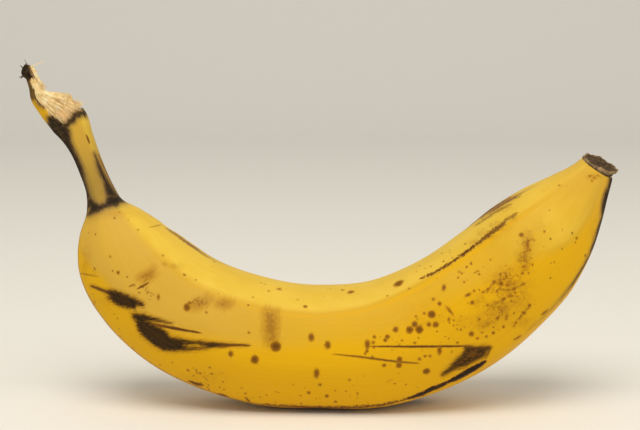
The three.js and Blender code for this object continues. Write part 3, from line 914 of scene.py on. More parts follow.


# %% [markdown]
# Ripe banana peel is a waxy skin over long fibres. Its yellow is pale on the hollow side of the bend and
# on the upper part of the next face, where the wax bloom is left, and deep below that. Besides the peel's
# own colour, that pale and deep is painted light: pale where the upper faces take the light from above,
# deep where the lower faces stand in for warm light bounced up from below.
# It is faintly streaked along its length, scatters a little light under the surface and has a
# soft, wide gloss. The streaks are read in the straightened fruit's measures, so they follow
# the bend with no seam. The marks come from a table: each row cuts one field off with its own
# noise, softness and colour. That keeps one rule for every kind of mark.

# %% The peel
# These yellows hold painted light besides the peel's colour: the pale ones paint the light from above on
# the upper faces, the deep one the warm light bounced up onto the lower faces.
PALE_YELLOW_AND_TOP_LIGHT = "E4BF44"
BLOOM_YELLOW_AND_TOP_LIGHT = "D5A822"
DEEP_YELLOW_AND_BOUNCE_LIGHT = "DEAA00"
# The matte yellow is the neck's dull skin; on the shoulder it is partly painted shade on that face.
MATTE_YELLOW_AND_SHADE = "CFA43C"
STALK_OLIVE = "A68638"
FIBRE_CREAM = "E8C48A"
FIBRE_TAN = "C2934F"
STREAK_BROWN = "A87A20"
CLOUD_BROWN = "A36D12"
NET_BROWN = "744404"
FRECKLE_BROWN = "805008"
# These browns also paint the contact shadow line along the underside.
LINE_AND_SHADOW_BROWNS = ("96600E", "46280A", "120A02")
# The bloom's edge and amount are partly the wax bloom and partly painted light from above on the faces
# that look up.
BLOOM_EDGE_AT = [46.0, 56.0, 66.0, 100.0, 140.0, 175.0, 200.0, 215.0, 228.0]
BLOOM_EDGE_ANGLE = [170.0, 138.0, 108.0, 84.0, 75.0, 73.0, 86.0, 108.0, 116.0]
BLOOM_AMOUNT = [0.85, 0.85, 0.8, 0.65, 0.4, 0.4, 0.5, 0.75, 0.65]
RIDGE_BAND_AMOUNT = [0.0, 0.1, 0.3, 0.5, 0.8, 1.0, 0.9, 0.6, 0.3]
BLOOM_SOFT = 9.0
# The flap beside the torn window is deep yellow up to the first of these places, in mm along.
FLAP_DEEP_AT = (15.0, 21.0)

# Name: the measures it is read in, the size of a wave in mm in each of its directions, and its
# detail. Along is the straightened fruit, solid the fruit itself, slanted the same, turned by
# the slant of the bruises. Real peel fibres are 0.3 mm apart, drawn at 0.7 mm so that they show.
PEEL_NOISES = {
    "streak": ("along", (20.0, 0.7, 0.7), 4),
    "rag": ("along", (3.0, 0.9, 0.9), 4),
    "cloud": ("along", (16.0, 9.0, 9.0), 2),
    "upright": ("along", (0.6, 5.0, 5.0), 3),
    "fibre": ("along", (7.0, 0.9, 0.9), 4),
    "feather": ("slanted", (5.0, 0.45, 0.45), 4),
    "mottle": ("solid", (0.8, 0.8, 0.8), 5),
    "blotch": ("solid", (2.2, 2.2, 2.2), 5),
    "net": ("solid", (2.8, 2.8, 2.8), 2),
    "pore": ("solid", (0.35, 0.35, 0.35), 2),
}
TUBE_MM = 18.0
BRUISE_SLANT = math.radians(14.0)

# Field, noise, how far the noise moves the edge, softness, where the edge is (all in mm), the
# colour and its strength. Later rows cover earlier ones.
PEEL_LAYERS = [
    ("scuff", "upright", 3.4, 2.4, 0.9, "A8720C", 0.45),
    ("scuff", "mottle", 6.0, 1.6, -0.9, "84500E", 0.5),
    ("wear", "fibre", 2.4, 1.3, 0.3, "8E5224", 0.5),
    ("wear", "mottle", 2.4, 0.8, -0.2, "5A3414", 0.68),
    ("spots", "mottle", 0.8, 0.56, 0.1, "A46A08", 0.75),
    ("spots", "mottle", 0.8, 0.50, -0.2, "7A4C00", 0.85),
    ("spots", "mottle", 0.9, 0.6, -0.8, "4A2802", 0.55),
    ("bruise", "feather", 2.2, 1.5, 0.45, "966208", 0.62),
    ("bruise", "feather", 1.7, 1.0, -0.05, "452A05", 0.88),
    ("black", "feather", 2.6, 1.2, -0.6, "140B02", 0.88),
    ("bruise", "streak", 6.0, 1.6, -1.3, "6E4A12", 0.2),
    ("mottled", "mottle", 6.0, 0.9, -1.5, "7C4E0C", 0.6),
    ("torn", "rag", 0.3, 0.12, 0.0, FIBRE_CREAM, 1.0),
    ("dark", "rag", 1.8, 1.7, 0.50, "6E5434", 0.68),
    ("dark", "rag", 1.9, 0.9, -0.1, "382818", 0.88),
    ("dark", "mottle", 2.2, 1.0, -0.75, "17100A", 0.75),
    ("dark", "mottle", 7.0, 2.0, -2.6, "66501E", 0.5),
]
PEEL_VALUES = [
    "tone", "matte", "stalk", "stain", "freckle", "scuff", "wear", "bruise", "black", "torn", "dark",
    "line_across", "line_half", "line_dark", "line_broken", "mottled",
]
FRECKLE_MM = 1.1
BUMP_MM = 0.12
print("rows of the peel's table:", len(PEEL_LAYERS), "noises:", len(PEEL_NOISES))

# %% [markdown]
# The base tone is one number from pale to deep. It could be painted, but it follows the fruit's build:
# the hollow side, the first ridge and the edge of the bloom are all places round the section that shift
# along the fruit, so two tables along the fruit and a few soft steps give it. Besides the peel's own
# colour it holds painted light: pale on the upper faces, which the light from above reaches, and deep on
# the lower faces, in place of light bounced up from below.

# %% Where the peel is pale and where it is deep, with painted light from above and bounce light below


def bloom_and_top_light_left(angle):
    """From 1 where the wax bloom, with the painted light from above, is left to 0 past its edge, a line
    slanted along the fruit.
    """
    edge = np.interp(grid_at, BLOOM_EDGE_AT, BLOOM_EDGE_ANGLE)
    return 1 - smooth_step(angle, edge - BLOOM_SOFT, edge + BLOOM_SOFT)


def tone_and_painted_light_field():
    """From 0 where the skin is pale to 1 where it is deep. The hollow side is pale up to the first ridge,
    a narrow deep band runs just past that ridge, and the bloom on the next face fades out at an angle
    that changes along the fruit. Besides the peel's own colour this is painted light: pale on the upper
    faces that the light from above reaches, deep on the lower faces in place of light bounced up from
    below."""
    turned = (skin_angle + 60) % 360 - 60
    bloom_and_top_light = np.interp(grid_at, BLOOM_EDGE_AT, BLOOM_AMOUNT)
    band = np.interp(grid_at, BLOOM_EDGE_AT, RIDGE_BAND_AMOUNT)
    past_ridge = smooth_step(turned, 44, 51)
    side = 1 - bloom_and_top_light * bloom_and_top_light_left(turned)
    side = np.maximum(side, band * np.exp(-((turned - 52) / 3.5) ** 2))
    back = smooth_step(turned, 225, 285)
    tone = past_ridge * side * (1 - back) + 0.06
    return np.maximum(tone, 1 - smooth_step(grid_at, *FLAP_DEEP_AT))


print("mean tone of the skin:", round(float(tone_and_painted_light_field().mean()), 2))

# %% [markdown]
# A mark's edge is never clean: bruises fray along the fibres and dry skin breaks up in crumbs.
# Noise of the right grain is added to the distance before it is cut off, so one small function
# serves every mark, and the noise alone decides how it frays.

# %% Cutting a mark off with noise


def mark(tree, distance, noise, rag, soft, edge, strength):
    """The strength inside a mark and 0 outside: noise moves the distance, cut off softly."""
    moved = add(tree, "Math", {"operation": "MULTIPLY_ADD", 0: noise, 1: rag, 2: distance})
    limits = {"From Min": edge + (rag + soft) / 2, "From Max": edge + (rag - soft) / 2}
    settings = {"interpolation_type": "SMOOTHSTEP", "Value": moved, **limits, "To Max": strength}
    return add(tree, "MapRange", settings)


def peel_noises(tree):
    """Every noise of the table, each in its own measures, and the place on the fruit in mm."""
    in_mm = {"operation": "SCALE", 0: add(tree, "TexCoord", {}, "Object"), "Scale": 1 / MM}
    place = {"along": add(tree, "Attribute", {"attribute_name": "straight"}, "Vector")}
    place["solid"] = add(tree, "VectorMath", in_mm)
    turned = {"Vector": place["solid"], "rotation_type": "Y_AXIS", "Angle": BRUISE_SLANT}
    place["slanted"] = add(tree, "VectorRotate", turned)
    noise = {}
    for name, (measure, sizes, detail) in PEEL_NOISES.items():
        spread = add(tree, "VectorMath", {"operation": "DIVIDE", 0: place[measure], 1: sizes})
        waves = {"Vector": spread, "Scale": 1.0, "Detail": detail, "Roughness": 0.6}
        noise[name] = add(tree, "TexNoise", waves)
    return noise, place["solid"]


def spot_distance(tree):
    """The distance to the nearest spot: the length of a group's offset, less the spot's size,
    and the least of that over the groups."""
    least = FAR
    for number in range(len(spot_groups)):
        offset = add(tree, "Attribute", {"attribute_name": f"offset_{number}"}, "Vector")
        size = add(tree, "Attribute", {"attribute_name": f"size_{number}"}, "Fac")
        length = add(tree, "VectorMath", {"operation": "LENGTH", 0: offset}, "Value")
        gap = add(tree, "Math", {"operation": "SUBTRACT", 0: length, 1: size})
        least = add(tree, "Math", {"operation": "MINIMUM", 0: least, 1: gap})
    return least


# %% [markdown]
# Freckles, stains and scratches are too many or too thin for distances of their own. Freckles are cells
# of a random pattern, stains are clouds and a net of veins, and a scratch, like the painted shadow line
# under the fruit, is its sideways offset less its half width. Each function gives amounts from 0 to 1.

# %% Freckles, stains and lines


def freckle_amount(tree, noise, solid, density):
    """Freckles in the cells of a Voronoi pattern: a cell has one where its own random value is
    below the density, which noise gathers into clusters, and another value gives its size."""
    cells = {"Vector": solid, "Scale": 1 / FRECKLE_MM, "Randomness": 1.0}
    gap = add(tree, "TexVoronoi", cells, "Distance")
    luck = add(tree, "TexVoronoi", cells, "Color")
    own_luck, size_luck = (add(tree, "SeparateColor", {"Color": luck}, part) for part in (0, 1))
    gather = {"Value": noise["blotch"], "From Min": 0.35, "From Max": 0.65, "To Min": 0.2, "To Max": 1.8}
    gather = add(tree, "MapRange", gather)
    density = add(tree, "Math", {"operation": "MULTIPLY", 0: density, 1: gather})
    present = add(tree, "Math", {"operation": "LESS_THAN", 0: own_luck, 1: density})
    radius = add(tree, "MapRange", {"Value": size_luck, "To Min": 0.08, "To Max": 0.42})
    gap = add(tree, "Math", {"operation": "SUBTRACT", 0: gap, 1: radius})
    round_part = mark(tree, gap, noise["mottle"], 0.5, 0.3, 0.0, 0.75)
    return add(tree, "Math", {"operation": "MULTIPLY", 0: round_part, 1: present})


def stain_amounts(tree, noise, strength):
    """Two amounts where skin is stained: brown clouds, and a net of thin veins where a noise
    crosses its middle value."""
    clouds = add(tree, "MapRange", {"Value": noise["blotch"], "From Min": 0.25, "From Max": 0.65})
    clouds = add(tree, "Math", {"operation": "MULTIPLY", 0: clouds, 1: strength})
    off = add(tree, "Math", {"operation": "SUBTRACT", 0: noise["net"], 1: 0.5})
    off = add(tree, "Math", {"operation": "ABSOLUTE", 0: off})
    net = add(tree, "MapRange", {"Value": off, "From Min": 0.06, "From Max": 0.01, "To Max": 0.45})
    near = add(tree, "MapRange", {"Value": strength, "From Min": 0.12, "From Max": 0.55})
    patchy = add(tree, "MapRange", {"Value": noise["mottle"], "From Min": 0.38, "From Max": 0.55})
    net = add(tree, "Math", {"operation": "MULTIPLY", 0: net, 1: patchy})
    return clouds, add(tree, "Math", {"operation": "MULTIPLY", 0: net, 1: near})


def line_amounts(tree, noise, value):
    """Three amounts on thin lines: a soft brown edge, a dark core and black on the darkest.
    All cut off the sideways offset, less the half width, with noise that breaks up the line."""
    across = add(tree, "Math", {"operation": "ABSOLUTE", 0: value["line_across"]})
    gap = add(tree, "Math", {"operation": "SUBTRACT", 0: across, 1: value["line_half"]})
    sway = add(tree, "Math", {"operation": "SUBTRACT", 0: noise["mottle"], 1: 0.5})
    moved = {"operation": "MULTIPLY_ADD", 0: sway, 1: value["line_broken"], 2: gap}
    gap = add(tree, "Math", moved)
    edge = mark(tree, gap, noise["rag"], 0.3, 0.45, 0.12, 1.0)
    core = mark(tree, gap, noise["rag"], 0.3, 0.3, -0.06, 1.0)
    inner = mark(tree, gap, noise["rag"], 0.6, 0.6, -0.3, 1.0)
    parts = [(edge, (0.0, 0.7), 0.85), (core, (0.0, 1.0), 1.0), (inner, (0.88, 0.96), 0.95)]
    amounts = []
    for part, (low, high), most in parts:
        share = {"Value": value["line_dark"], "From Min": low, "From Max": high, "To Max": most}
        share = add(tree, "MapRange", share)
        amounts.append(add(tree, "Math", {"operation": "MULTIPLY", 0: part, 1: share}))
    return amounts


# %% [markdown]
# The peel's colour is built from the bottom up: the yellow of its tone, then one cover after
# another, each mixed in by its amount. The same distances make dry skin rougher, and the
# streaks and pores raise the surface by a tenth of a millimetre.

# %% The peel's covers and its material


def peel_covers(tree, noise, solid, value):
    """What lies over the yellow skin, lowest first: colours, each with its amount."""
    fine = {"Value": noise["streak"], "From Min": 0.42, "From Max": 0.8, "To Max": 0.09}
    clouds, net = stain_amounts(tree, noise, value["stain"])
    covers = [
        (MATTE_YELLOW_AND_SHADE, value["matte"]),
        (STALK_OLIVE, value["stalk"]),
        (STREAK_BROWN, add(tree, "MapRange", fine)),
        (CLOUD_BROWN, clouds),
        (NET_BROWN, net),
        (FRECKLE_BROWN, freckle_amount(tree, noise, solid, value["freckle"])),
    ]
    covers += zip(LINE_AND_SHADOW_BROWNS, line_amounts(tree, noise, value))
    value["spots"] = spot_distance(tree)
    for name, wobble, *shape, code, strength in PEEL_LAYERS:
        covers.append((code, mark(tree, value[name], noise[wobble], *shape, strength)))
        if name == "torn":
            grain = {"Value": noise["fibre"], "From Min": 0.50, "From Max": 0.72, "To Max": 0.6}
            grain = add(tree, "MapRange", grain)
            grain = add(tree, "Math", {"operation": "MULTIPLY", 0: grain, 1: covers[-1][1]})
            covers.append((FIBRE_TAN, grain))
    return covers


def peel_material():
    """Waxy plant skin, as grown. Wax gives it an index of 1.42 and a broad, low gloss; light
    that enters comes out again a millimetre away, which keeps its yellow warm in the shade."""
    settings = {
        "IOR": 1.42, "Specular IOR Level": 0.2, "Subsurface Weight": 0.06,
        "Subsurface Radius": (1.0, 0.7, 0.1), "Subsurface Scale": 1.2 * MM,
    }
    material, tree, shader = new_material("ripe banana peel", settings)
    noise, solid = peel_noises(tree)
    value = {
        name: add(tree, "Attribute", {"attribute_name": name}, "Fac") for name in PEEL_VALUES
    }
    clouds = {"From Min": 0.3, "From Max": 0.7, "To Min": -0.12, "To Max": 0.12}
    clouds = add(tree, "MapRange", {"Value": noise["cloud"], **clouds})
    tone = add(tree, "Math", {"operation": "ADD", 0: value["tone"], 1: clouds})
    stops = [(0.0, PALE_YELLOW_AND_TOP_LIGHT), (0.5, BLOOM_YELLOW_AND_TOP_LIGHT), (1.0, DEEP_YELLOW_AND_BOUNCE_LIGHT)]
    skin = add(tree, "ValToRGB", {"Fac": tone, "stops": stops})
    for code, amount in peel_covers(tree, noise, solid, value):
        skin = add(tree, "Mix", {"data_type": "RGBA", 0: amount, 6: skin, 7: colour(code)}, 2)
    tree.links.new(skin, shader["Base Color"])

    dry = add(tree, "Math", {"operation": "MINIMUM", 0: value["bruise"], 1: value["dark"]})
    dry = mark(tree, dry, noise["mottle"], 1.0, 0.8, 0.0, 1.0)
    rough = add(tree, "MapRange", {"Value": dry, "To Min": 0.5, "To Max": 0.68})
    tree.links.new(rough, shader["Roughness"])

    pores = {"operation": "MULTIPLY_ADD", 0: noise["pore"], 1: 0.5, 2: noise["streak"]}
    height = add(tree, "Math", pores)
    relief = add(tree, "Math", {"operation": "SUBTRACT", 0: noise["mottle"], 1: 1.0})
    height = add(tree, "Math", {"operation": "MULTIPLY_ADD", 0: relief, 1: dry, 2: height})
    bump = add(tree, "Bump", {"Height": height, "Strength": 0.4, "Distance": BUMP_MM * MM})
    tree.links.new(bump, shader["Normal"])
    return material


# %% [markdown]
# The grid becomes the mesh, and every distance, offset and amount becomes a value on its points. The
# matte skin of the neck, the duller shoulder, which is partly painted shade on that face, and the olive
# of the stalk are amounts too: each fades along the fruit between two places.

# %% Make the skin
NECK_MATTE = 0.5
SHOULDER_MATTE_AND_SHADE = 0.85
SHOULDER_FADE = (86, 138)
OLIVE_LEAST = 0.1
skin_count = grid_at.size
tip_pole = grid_points[0].mean(axis=0)
scar_pole = grid_points[-1].mean(axis=0)
skin_list = np.concatenate([grid_points.reshape(-1, 3), [tip_pole, scar_pole]])
skin_faces = ring_faces(len(ring_at), AROUND)
peel = make_piece("peel", skin_list, skin_faces, close_ends(len(ring_at), AROUND))


def with_poles(field):
    """The grid's values as a list, with the mean of the end rings for the two poles."""
    flat = field.reshape(skin_count, -1)
    ends = [field[0].reshape(AROUND, -1).mean(0), field[-1].reshape(AROUND, -1).mean(0)]
    return np.concatenate([flat, ends]).squeeze()


around = np.radians(grid_angle)
fields["straight"] = np.stack([grid_at, TUBE_MM * np.cos(around), TUBE_MM * np.sin(around)], axis=-1)
fields["tone"] = tone_and_painted_light_field()
neck = NECK_MATTE * smooth_step(grid_at, fruit_length - 22, fruit_length - 4)
# The shoulder's duller yellow is partly its bloom and partly painted shade on that face.
shoulder_bloom_and_shade = smooth_step(skin_angle, 44, 58) * bloom_and_top_light_left(skin_angle)
past_flap = smooth_step(grid_at, *FLAP_DEEP_AT)
shoulder_bloom_and_shade *= past_flap * (1 - smooth_step(grid_at, *SHOULDER_FADE))
fields["matte"] = neck + SHOULDER_MATTE_AND_SHADE * shoulder_bloom_and_shade
fields["stalk"] = 1 - smooth_step(grid_at, collar_at - 2.0, collar_at + 4.0)
past_rim = smooth_step(grid_at, torn_rim, torn_rim + 24)
fields["stalk"] *= OLIVE_LEAST + (1 - OLIVE_LEAST) * past_rim
for number, group in enumerate(spot_groups):
    fields[f"offset_{number}"], fields[f"size_{number}"] = spot_offsets(group)
for name, field in fields.items():
    give_values(peel, name, with_poles(field))
peel.data.materials.append(peel_material())
print("values on the peel:", ", ".join(fields))

# %% [markdown]
# The flower scar is the dry brown button where the flower fell off: a flared rim round a
# dished, crinkled top, with a small knob at one side. It could be sculpted, but a profile that
# is swung round the end of the middle line follows the fruit's own section, and a few sines
# crinkle it.

# %% The flower scar
# Along the end of the middle line in mm, width as a share of the fruit's last section, and the
# share of the tilt towards the front, from the skirt inside the skin to the middle of the dish.
SCAR_PROFILE = [
    (-1.7, 0.93, 0.55), (-0.9, 0.99, 0.75), (-0.2, 1.02, 0.9), (0.3, 1.05, 1.0), (0.6, 1.06, 1.0),
    (0.75, 1.01, 1.0), (0.6, 0.93, 0.9), (0.25, 0.83, 0.8), (0.05, 0.70, 0.66), (0.0, 0.54, 0.5),
    (0.3, 0.36, 0.34), (0.45, 0.2, 0.18), (0.6, 0.07, 0.06),
]
SCAR_AROUND = 160
SCAR_FINE = 4
# How far the scar leans down the bend and towards the front, in mm.
SCAR_LEAN = 0.8
SCAR_TILT = 1.35
KNOB_ANGLE = 168.0
KNOB_HALF_WIDTH = 13.0
KNOB_SHARE = 0.07
KNOB_RISE = 0.8
# Where the skirt's edge rises on the skin: an angle and a height in mm.
SKIRT_RISES = [(0.0, 0.6), (155.0, 0.9)]
SKIRT_HALF_WIDTH = 30.0


def skin_centre(at):
    """The middle line's point, as x, y and z in the last direction."""
    x = smooth_through(stations[:, 0], at)
    return np.stack([x, np.zeros_like(x), smooth_through(stations[:, 1], at)], axis=-1)


def scar_points():
    """Rings of the profile. Below the end each ring is a scaled section of the fruit itself,
    and above it the last section, moved on. A tilt lowers the front and lifts the back, and
    folds of several widths crinkle the rim. Also the share of the light rim at each ring."""
    coarse = np.array(SCAR_PROFILE)
    fine = np.linspace(0, len(coarse) - 1, (len(coarse) - 1) * SCAR_FINE + 1)
    along, width, tilt = (np.interp(fine, np.arange(len(coarse)), c)[:, None] for c in coarse.T)
    angle = np.linspace(0, 360, SCAR_AROUND, endpoint=False)[None, :] + stations[-1, 4]
    turn = np.radians(angle)
    knob = np.exp(-((angle - KNOB_ANGLE) / KNOB_HALF_WIDTH) ** 2)
    crinkle = 0.012 * np.sin(23 * turn + 3 * width) + 0.02 * np.sin(7 * turn + 1)
    outer = smooth_step(along, -1.2, 0.4) * smooth_step(width, 0.7, 1.0)
    spread = width * (1 + crinkle * (0.3 + outer) + KNOB_SHARE * knob * outer)
    ups = 0.16 * np.sin(11 * turn + 9 * width) * np.sin(5 * turn) + 0.12 * np.sin(6 * turn - 14 * width)
    height = along - tilt * (SCAR_LEAN * np.cos(turn) + SCAR_TILT * np.sin(turn))
    height = height + ups * smooth_step(along, -0.5, 0.6) + KNOB_RISE * knob * outer
    for middle, rise in SKIRT_RISES:
        away = (angle - middle + 180) % 360 - 180
        height = height + rise * np.exp(-(away / SKIRT_HALF_WIDTH) ** 2) * (1 - outer) * (along < 0)
    below, above = np.minimum(height, 0), np.maximum(height, 0)
    edge = skin_points(fruit_length + below, angle)
    middle = skin_centre(fruit_length + below)
    ahead = skin_centre(np.array(fruit_length)) - skin_centre(np.array(fruit_length - 0.5))
    ahead /= np.linalg.norm(ahead)
    light = outer * (1 - smooth_step(fine, 5.0, 6.6)[:, None]) * np.ones_like(angle)
    return middle + (edge - middle) * spread[..., None] + ahead * above[..., None], light


def dried_material():
    """Dried plant tissue, shrunk and corky: dull, nearly black in its hollows and paler on the
    rubbed rim, with a grain of about a millimetre."""
    settings = {"Roughness": 0.85, "IOR": 1.4, "Specular IOR Level": 0.3}
    material, tree, shader = new_material("dried flower scar", settings)
    place = add(tree, "TexCoord", {}, "Object")
    grain = {"Vector": place, "Scale": 900.0, "Detail": 6.0, "Roughness": 0.7}
    grain = add(tree, "TexNoise", grain)
    stops = [(0.34, "2C2016"), (0.6, "5E4A32"), (0.8, "80684C")]
    tint = add(tree, "ValToRGB", {"Fac": grain, "stops": stops})
    rim = add(tree, "Attribute", {"attribute_name": "rim"}, "Fac")
    dusty = add(tree, "MapRange", {"Value": grain, "From Min": 0.35, "From Max": 0.6})
    dusty = add(tree, "Math", {"operation": "MULTIPLY", 0: dusty, 1: rim})
    pale = {"data_type": "RGBA", 0: dusty, 6: tint, 7: colour("A68A60")}
    tree.links.new(add(tree, "Mix", pale, 2), shader["Base Color"])
    bump = add(tree, "Bump", {"Height": grain, "Strength": 0.8, "Distance": 0.3 * MM})
    tree.links.new(bump, shader["Normal"])
    return material


scar_grid, scar_light = scar_points()
scar_rings = scar_grid.shape[0]
scar_poles = [scar_grid[0].mean(axis=0), scar_grid[-1].mean(axis=0)]
scar_list = np.concatenate([scar_grid.reshape(-1, 3), scar_poles])
scar_faces = ring_faces(scar_rings, SCAR_AROUND)
scar = make_piece("flower_scar", scar_list, scar_faces, close_ends(scar_rings, SCAR_AROUND))
give_values(scar, "rim", np.append(scar_light.ravel(), [0, 0]))
dried = dried_material()
scar.data.materials.append(dried)

# %% [markdown]
# Torn stalk fibre is the pale, stringy wood of the stalk. A bump map could suggest it, but its
# frayed ends stand out against the light, so it is made as strands: each a tapered thread with
# four sides, laid along the torn face, some of them lifting off near the rim. All strands are
# worked out in one go, as an array of strands by rings by sides.

# %% Torn fibre
FIBRE_COUNT = 460
FIBRE_RINGS = 8
FIBRE_SIDES = 4
CURL_BACK = 0.8
# One long loose thread, from its root to its end in mm.
WHISKER = [(-91.9, -0.2, 102.9), (-87.7, 0.6, 104.6)]
UPPER_SHARE = 0.40
TIP_FROM = 0.74
LOWER_FROM = 0.82


def strand_mesh(routes, thickness):
    """Points and faces of tapered strands. Each route is a row of points; at each point a ring
    of corners stands square to the route, with a radius of half its thickness."""
    count, rings, _ = routes.shape
    ahead = np.gradient(routes, axis=1)
    ahead /= np.linalg.norm(ahead, axis=-1, keepdims=True)
    side = np.cross(ahead, np.array([0.13, 0.92, 0.37]))
    side /= np.linalg.norm(side, axis=-1, keepdims=True)
    other = np.cross(ahead, side)
    turn = np.linspace(0, 2 * np.pi, FIBRE_SIDES, endpoint=False)
    spread = (thickness / 2)[..., None, None]
    corners = routes[:, :, None, :] + spread * (
        np.cos(turn)[:, None] * side[:, :, None, :] + np.sin(turn)[:, None] * other[:, :, None, :]
    )
    own = rings * FIBRE_SIDES
    body = ring_faces(rings, FIBRE_SIDES)
    first_cap = np.arange(FIBRE_SIDES)[::-1]
    last_cap = np.arange(FIBRE_SIDES) + own - FIBRE_SIDES
    faces = np.concatenate([body, [first_cap, last_cap]])
    quads = (faces[None] + own * np.arange(count)[:, None, None]).reshape(-1, FIBRE_SIDES)
    return corners.reshape(-1, 3), quads


# %% [markdown]
# The strands differ by where they grow. A few kinds with their own start, end and lift give the
# torn face its build: a standing lip above, a frayed edge at the rim and long threads at the tip.

# %% The strands' routes and their material


def fibre_routes():
    """Routes along the torn face, with a slow sideways wander. The upper strands follow the lip
    and break off past its edge, the side ones run to the rim, the lower ones start behind the
    lip and turn up at the rim, and a few run up to the very tip. The whisker comes last."""
    kind = random.random(FIBRE_COUNT)
    upper, lower = kind < UPPER_SHARE, kind > LOWER_FROM
    tip = (kind > TIP_FROM) & (kind <= LOWER_FROM)
    side = ~(upper | lower | tip)
    angle = np.where(upper, random.normal(2, 26, FIBRE_COUNT), random.uniform(-50, 60, FIBRE_COUNT))
    angle[side] = random.uniform(TORN_FROM_ANGLE + 3, TORN_TO_ANGLE - 3, side.sum())
    angle[tip] = random.uniform(-30, 40, tip.sum())
    angle = np.clip(angle, TORN_FROM_ANGLE + 3, TORN_TO_ANGLE - 3)
    start = random.uniform(4.2, 13.0, FIBRE_COUNT)
    start[lower] = random.uniform(16.0, 18.2, lower.sum())
    start[tip] = random.uniform(0.2, 1.4, tip.sum())
    end = np.minimum(start + random.uniform(5.0, 13.0, FIBRE_COUNT), torn_rim)
    end[upper] = LIP_AT + random.uniform(-1.8, 0.5, upper.sum())
    end[lower] = torn_rim - random.uniform(-0.4, 1.2, lower.sum())
    end[tip] = random.uniform(6.0, 9.0, tip.sum())
    share = np.linspace(0, 1, FIBRE_RINGS)[None, :]
    at = start[:, None] + (end - start)[:, None] * share
    at[lower] -= CURL_BACK * share ** 4
    sway = random.normal(size=(FIBRE_COUNT, 1)) * 5
    sway = sway + 4 * np.sin(6 * share + random.uniform(0, 6, (FIBRE_COUNT, 1)))
    loose = 0.1 + 0.5 * random.random(FIBRE_COUNT) ** 3
    loose[lower] += 2.5 * np.exp(-((angle[lower] - 5) / 22) ** 2) * random.random(lower.sum()) ** 0.5
    late = np.where(lower, 5.0, 2.5)[:, None]
    lift = -0.66 + 0.14 * np.sin(np.pi * share) + loose[:, None] * share ** late
    lift[tip] += 1.1 + 0.9 * random.random((tip.sum(), 1)) * (1 - share)
    thin = np.minimum(1, smooth_through(stations[:, 2], at) / 6)
    angles = angle[:, None] + sway * share
    lip = lip_height(at, angles) * np.where(upper[:, None], 1, lip_step(at, angles))
    whisker = np.linspace(*WHISKER, FIBRE_RINGS)[None]
    return np.concatenate([skin_points(at, angles, lift * thin + lip), whisker])


def fibre_material():
    """Torn plant fibre, dry on the outside and still moist within: matt, cream to tan along
    each strand, and softly lit from inside where it is thin."""
    settings = {
        "Roughness": 0.7, "IOR": 1.5, "Specular IOR Level": 0.3, "Subsurface Weight": 0.15,
        "Subsurface Scale": 0.6 * MM,
    }
    material, tree, shader = new_material("torn stalk fibre", settings)
    place = add(tree, "TexCoord", {}, "Object")
    grain = add(tree, "TexNoise", {"Vector": place, "Scale": 500.0, "Detail": 3.0})
    stops = [(0.32, "E4BE80"), (0.5, "F2D298"), (0.68, "FAE6BC")]
    tree.links.new(add(tree, "ValToRGB", {"Fac": grain, "stops": stops}), shader["Base Color"])
    return material


taper = np.linspace(1, 0.35, FIBRE_RINGS)[None, :]
fibre_thickness = random.uniform(0.16, 0.44, (FIBRE_COUNT + 1, 1)) * taper
fibres = make_piece("torn_fibre", *strand_mesh(fibre_routes(), fibre_thickness))
fibres.data.materials.append(fibre_material())

# %% [markdown]
# A few dark hairs stand off the dry nub at the tip. A hair system would be lost in an export,
# so they are made as the strands were, from the same function, with the dried material.

# %% Hairs at the tip
HAIR_COUNT = 10
LONG_HAIRS = [
    ((-93.8, 0.2, 100.2), (-95.6, -0.4, 99.7)),
    ((-93.0, 0.0, 102.6), (-93.9, -0.2, 105.0)),
]


def hair_routes():
    """The long hairs named above and ten short ones that leave the nub in random directions,
    each with a bend to one side."""
    places = random.uniform(0.2, 3.6, HAIR_COUNT), random.uniform(60, 300, HAIR_COUNT)
    roots = skin_points(*places, np.full(HAIR_COUNT, -0.3))
    nub_middle = skin_centre(np.array(1.6))
    outward = roots - nub_middle + np.array([0, 0, 0.6])
    outward /= np.linalg.norm(outward, axis=-1, keepdims=True)
    ends = roots + outward * random.uniform(0.5, 1.1, (HAIR_COUNT, 1))
    roots = np.concatenate([roots, [root for root, _ in LONG_HAIRS]])
    ends = np.concatenate([ends, [end for _, end in LONG_HAIRS]])
    share = np.linspace(0, 1, FIBRE_RINGS)[None, :, None]
    bend = random.normal(size=(len(roots), 1, 3)) * 0.1 * np.sin(np.pi * share)
    return roots[:, None] * (1 - share) + ends[:, None] * share + bend


hair_paths = hair_routes()
hair_thickness = random.uniform(0.2, 0.6, (len(hair_paths), 1)) * taper
hairs = make_piece("tip_hairs", *strand_mesh(hair_paths, hair_thickness))
hairs.data.materials.append(dried)

# %% [markdown]
# The studio is plain: a pale sweep that rises behind the fruit with no visible corner, a large
# soft light above and in front, a weaker one from the right and pale light all round. A small
# bright lamp would be simpler, but a soft light needs size rather than strength, and size is
# what keeps the shadow under the fruit faint.

# %% Studio
SWEEP_WIDTH = 4.0
SWEEP_FRONT = -1.6
SWEEP_BACK = 0.9
SWEEP_RISE = 1.8
SWEEP_CURVE = 0.5
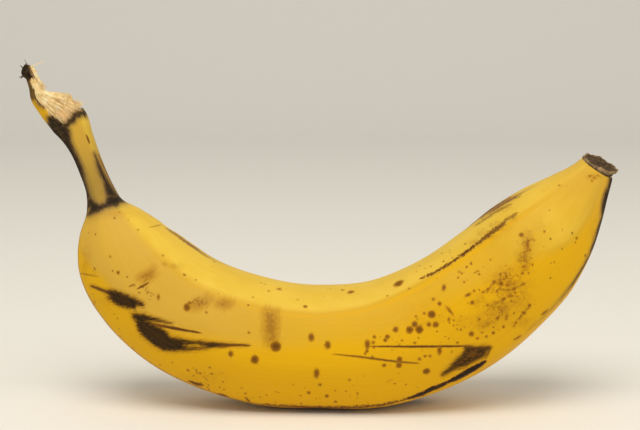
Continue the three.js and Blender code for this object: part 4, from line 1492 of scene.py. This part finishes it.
# Name, place in metres, size in metres, power in watts and tint.
LIGHTS = [
    ("key", (-0.08, -0.55, 1.0), 0.7, 8.3, "FFF8EC"),
    ("fill", (0.9, -0.7, 0.5), 0.8, 1.9, "FFF6E8"),
]
LIGHT_AIM = Vector((0, 0, 0.05))
SKY_TINT = "F4F2EC"
SKY_STRENGTH = 0.54


def make_sweep():
    """A floor that turns up into a wall along a quarter circle. It is matt studio paper, so it
    gives the eye nothing but the fruit's shadow."""
    turn = np.linspace(0, np.pi / 2, 24)
    bend_y = SWEEP_BACK + SWEEP_CURVE * np.sin(turn)
    bend_z = SWEEP_CURVE * (1 - np.cos(turn))
    y = np.concatenate([[SWEEP_FRONT], bend_y, [SWEEP_BACK + SWEEP_CURVE]])
    z = np.concatenate([[0.0], bend_z, [SWEEP_RISE]])
    points = [(x, a, b) for x in (-SWEEP_WIDTH / 2, SWEEP_WIDTH / 2) for a, b in zip(y, z)]
    count = len(y)
    faces = [(i, i + count, i + count + 1, i + 1) for i in range(count - 1)]
    mesh = bpy.data.meshes.new("sweep")
    mesh.from_pydata(points, [], faces)
    mesh.polygons.foreach_set("use_smooth", np.ones(len(faces), bool))
    sweep = bpy.data.objects.new("sweep", mesh)
    bpy.context.collection.objects.link(sweep)
    settings = {"Base Color": colour("F1EFE9"), "Roughness": 0.9, "Specular IOR Level": 0.2}
    material, _, _ = new_material("pale paper", settings)
    mesh.materials.append(material)
    return sweep


def soft_light(name, place, size, power, tint):
    """A square light that faces the middle of the fruit."""
    data = bpy.data.lights.new(name, "AREA")
    data.shape = "SQUARE"
    data.size = size
    data.energy = power
    data.color = colour(tint)[:3]
    light = bpy.data.objects.new(name, data)
    light.location = place
    light.rotation_euler = (LIGHT_AIM - Vector(place)).to_track_quat("-Z", "Y").to_euler()
    bpy.context.collection.objects.link(light)


make_sweep()
for light_settings in LIGHTS:
    soft_light(*light_settings)
world = bpy.data.worlds.new("studio")
world.use_nodes = True
sky = world.node_tree.nodes["Background"].inputs
sky["Color"].default_value = colour(SKY_TINT)
sky["Strength"].default_value = SKY_STRENGTH
bpy.context.scene.world = world
bpy.context.scene.view_settings.view_transform = "Standard"
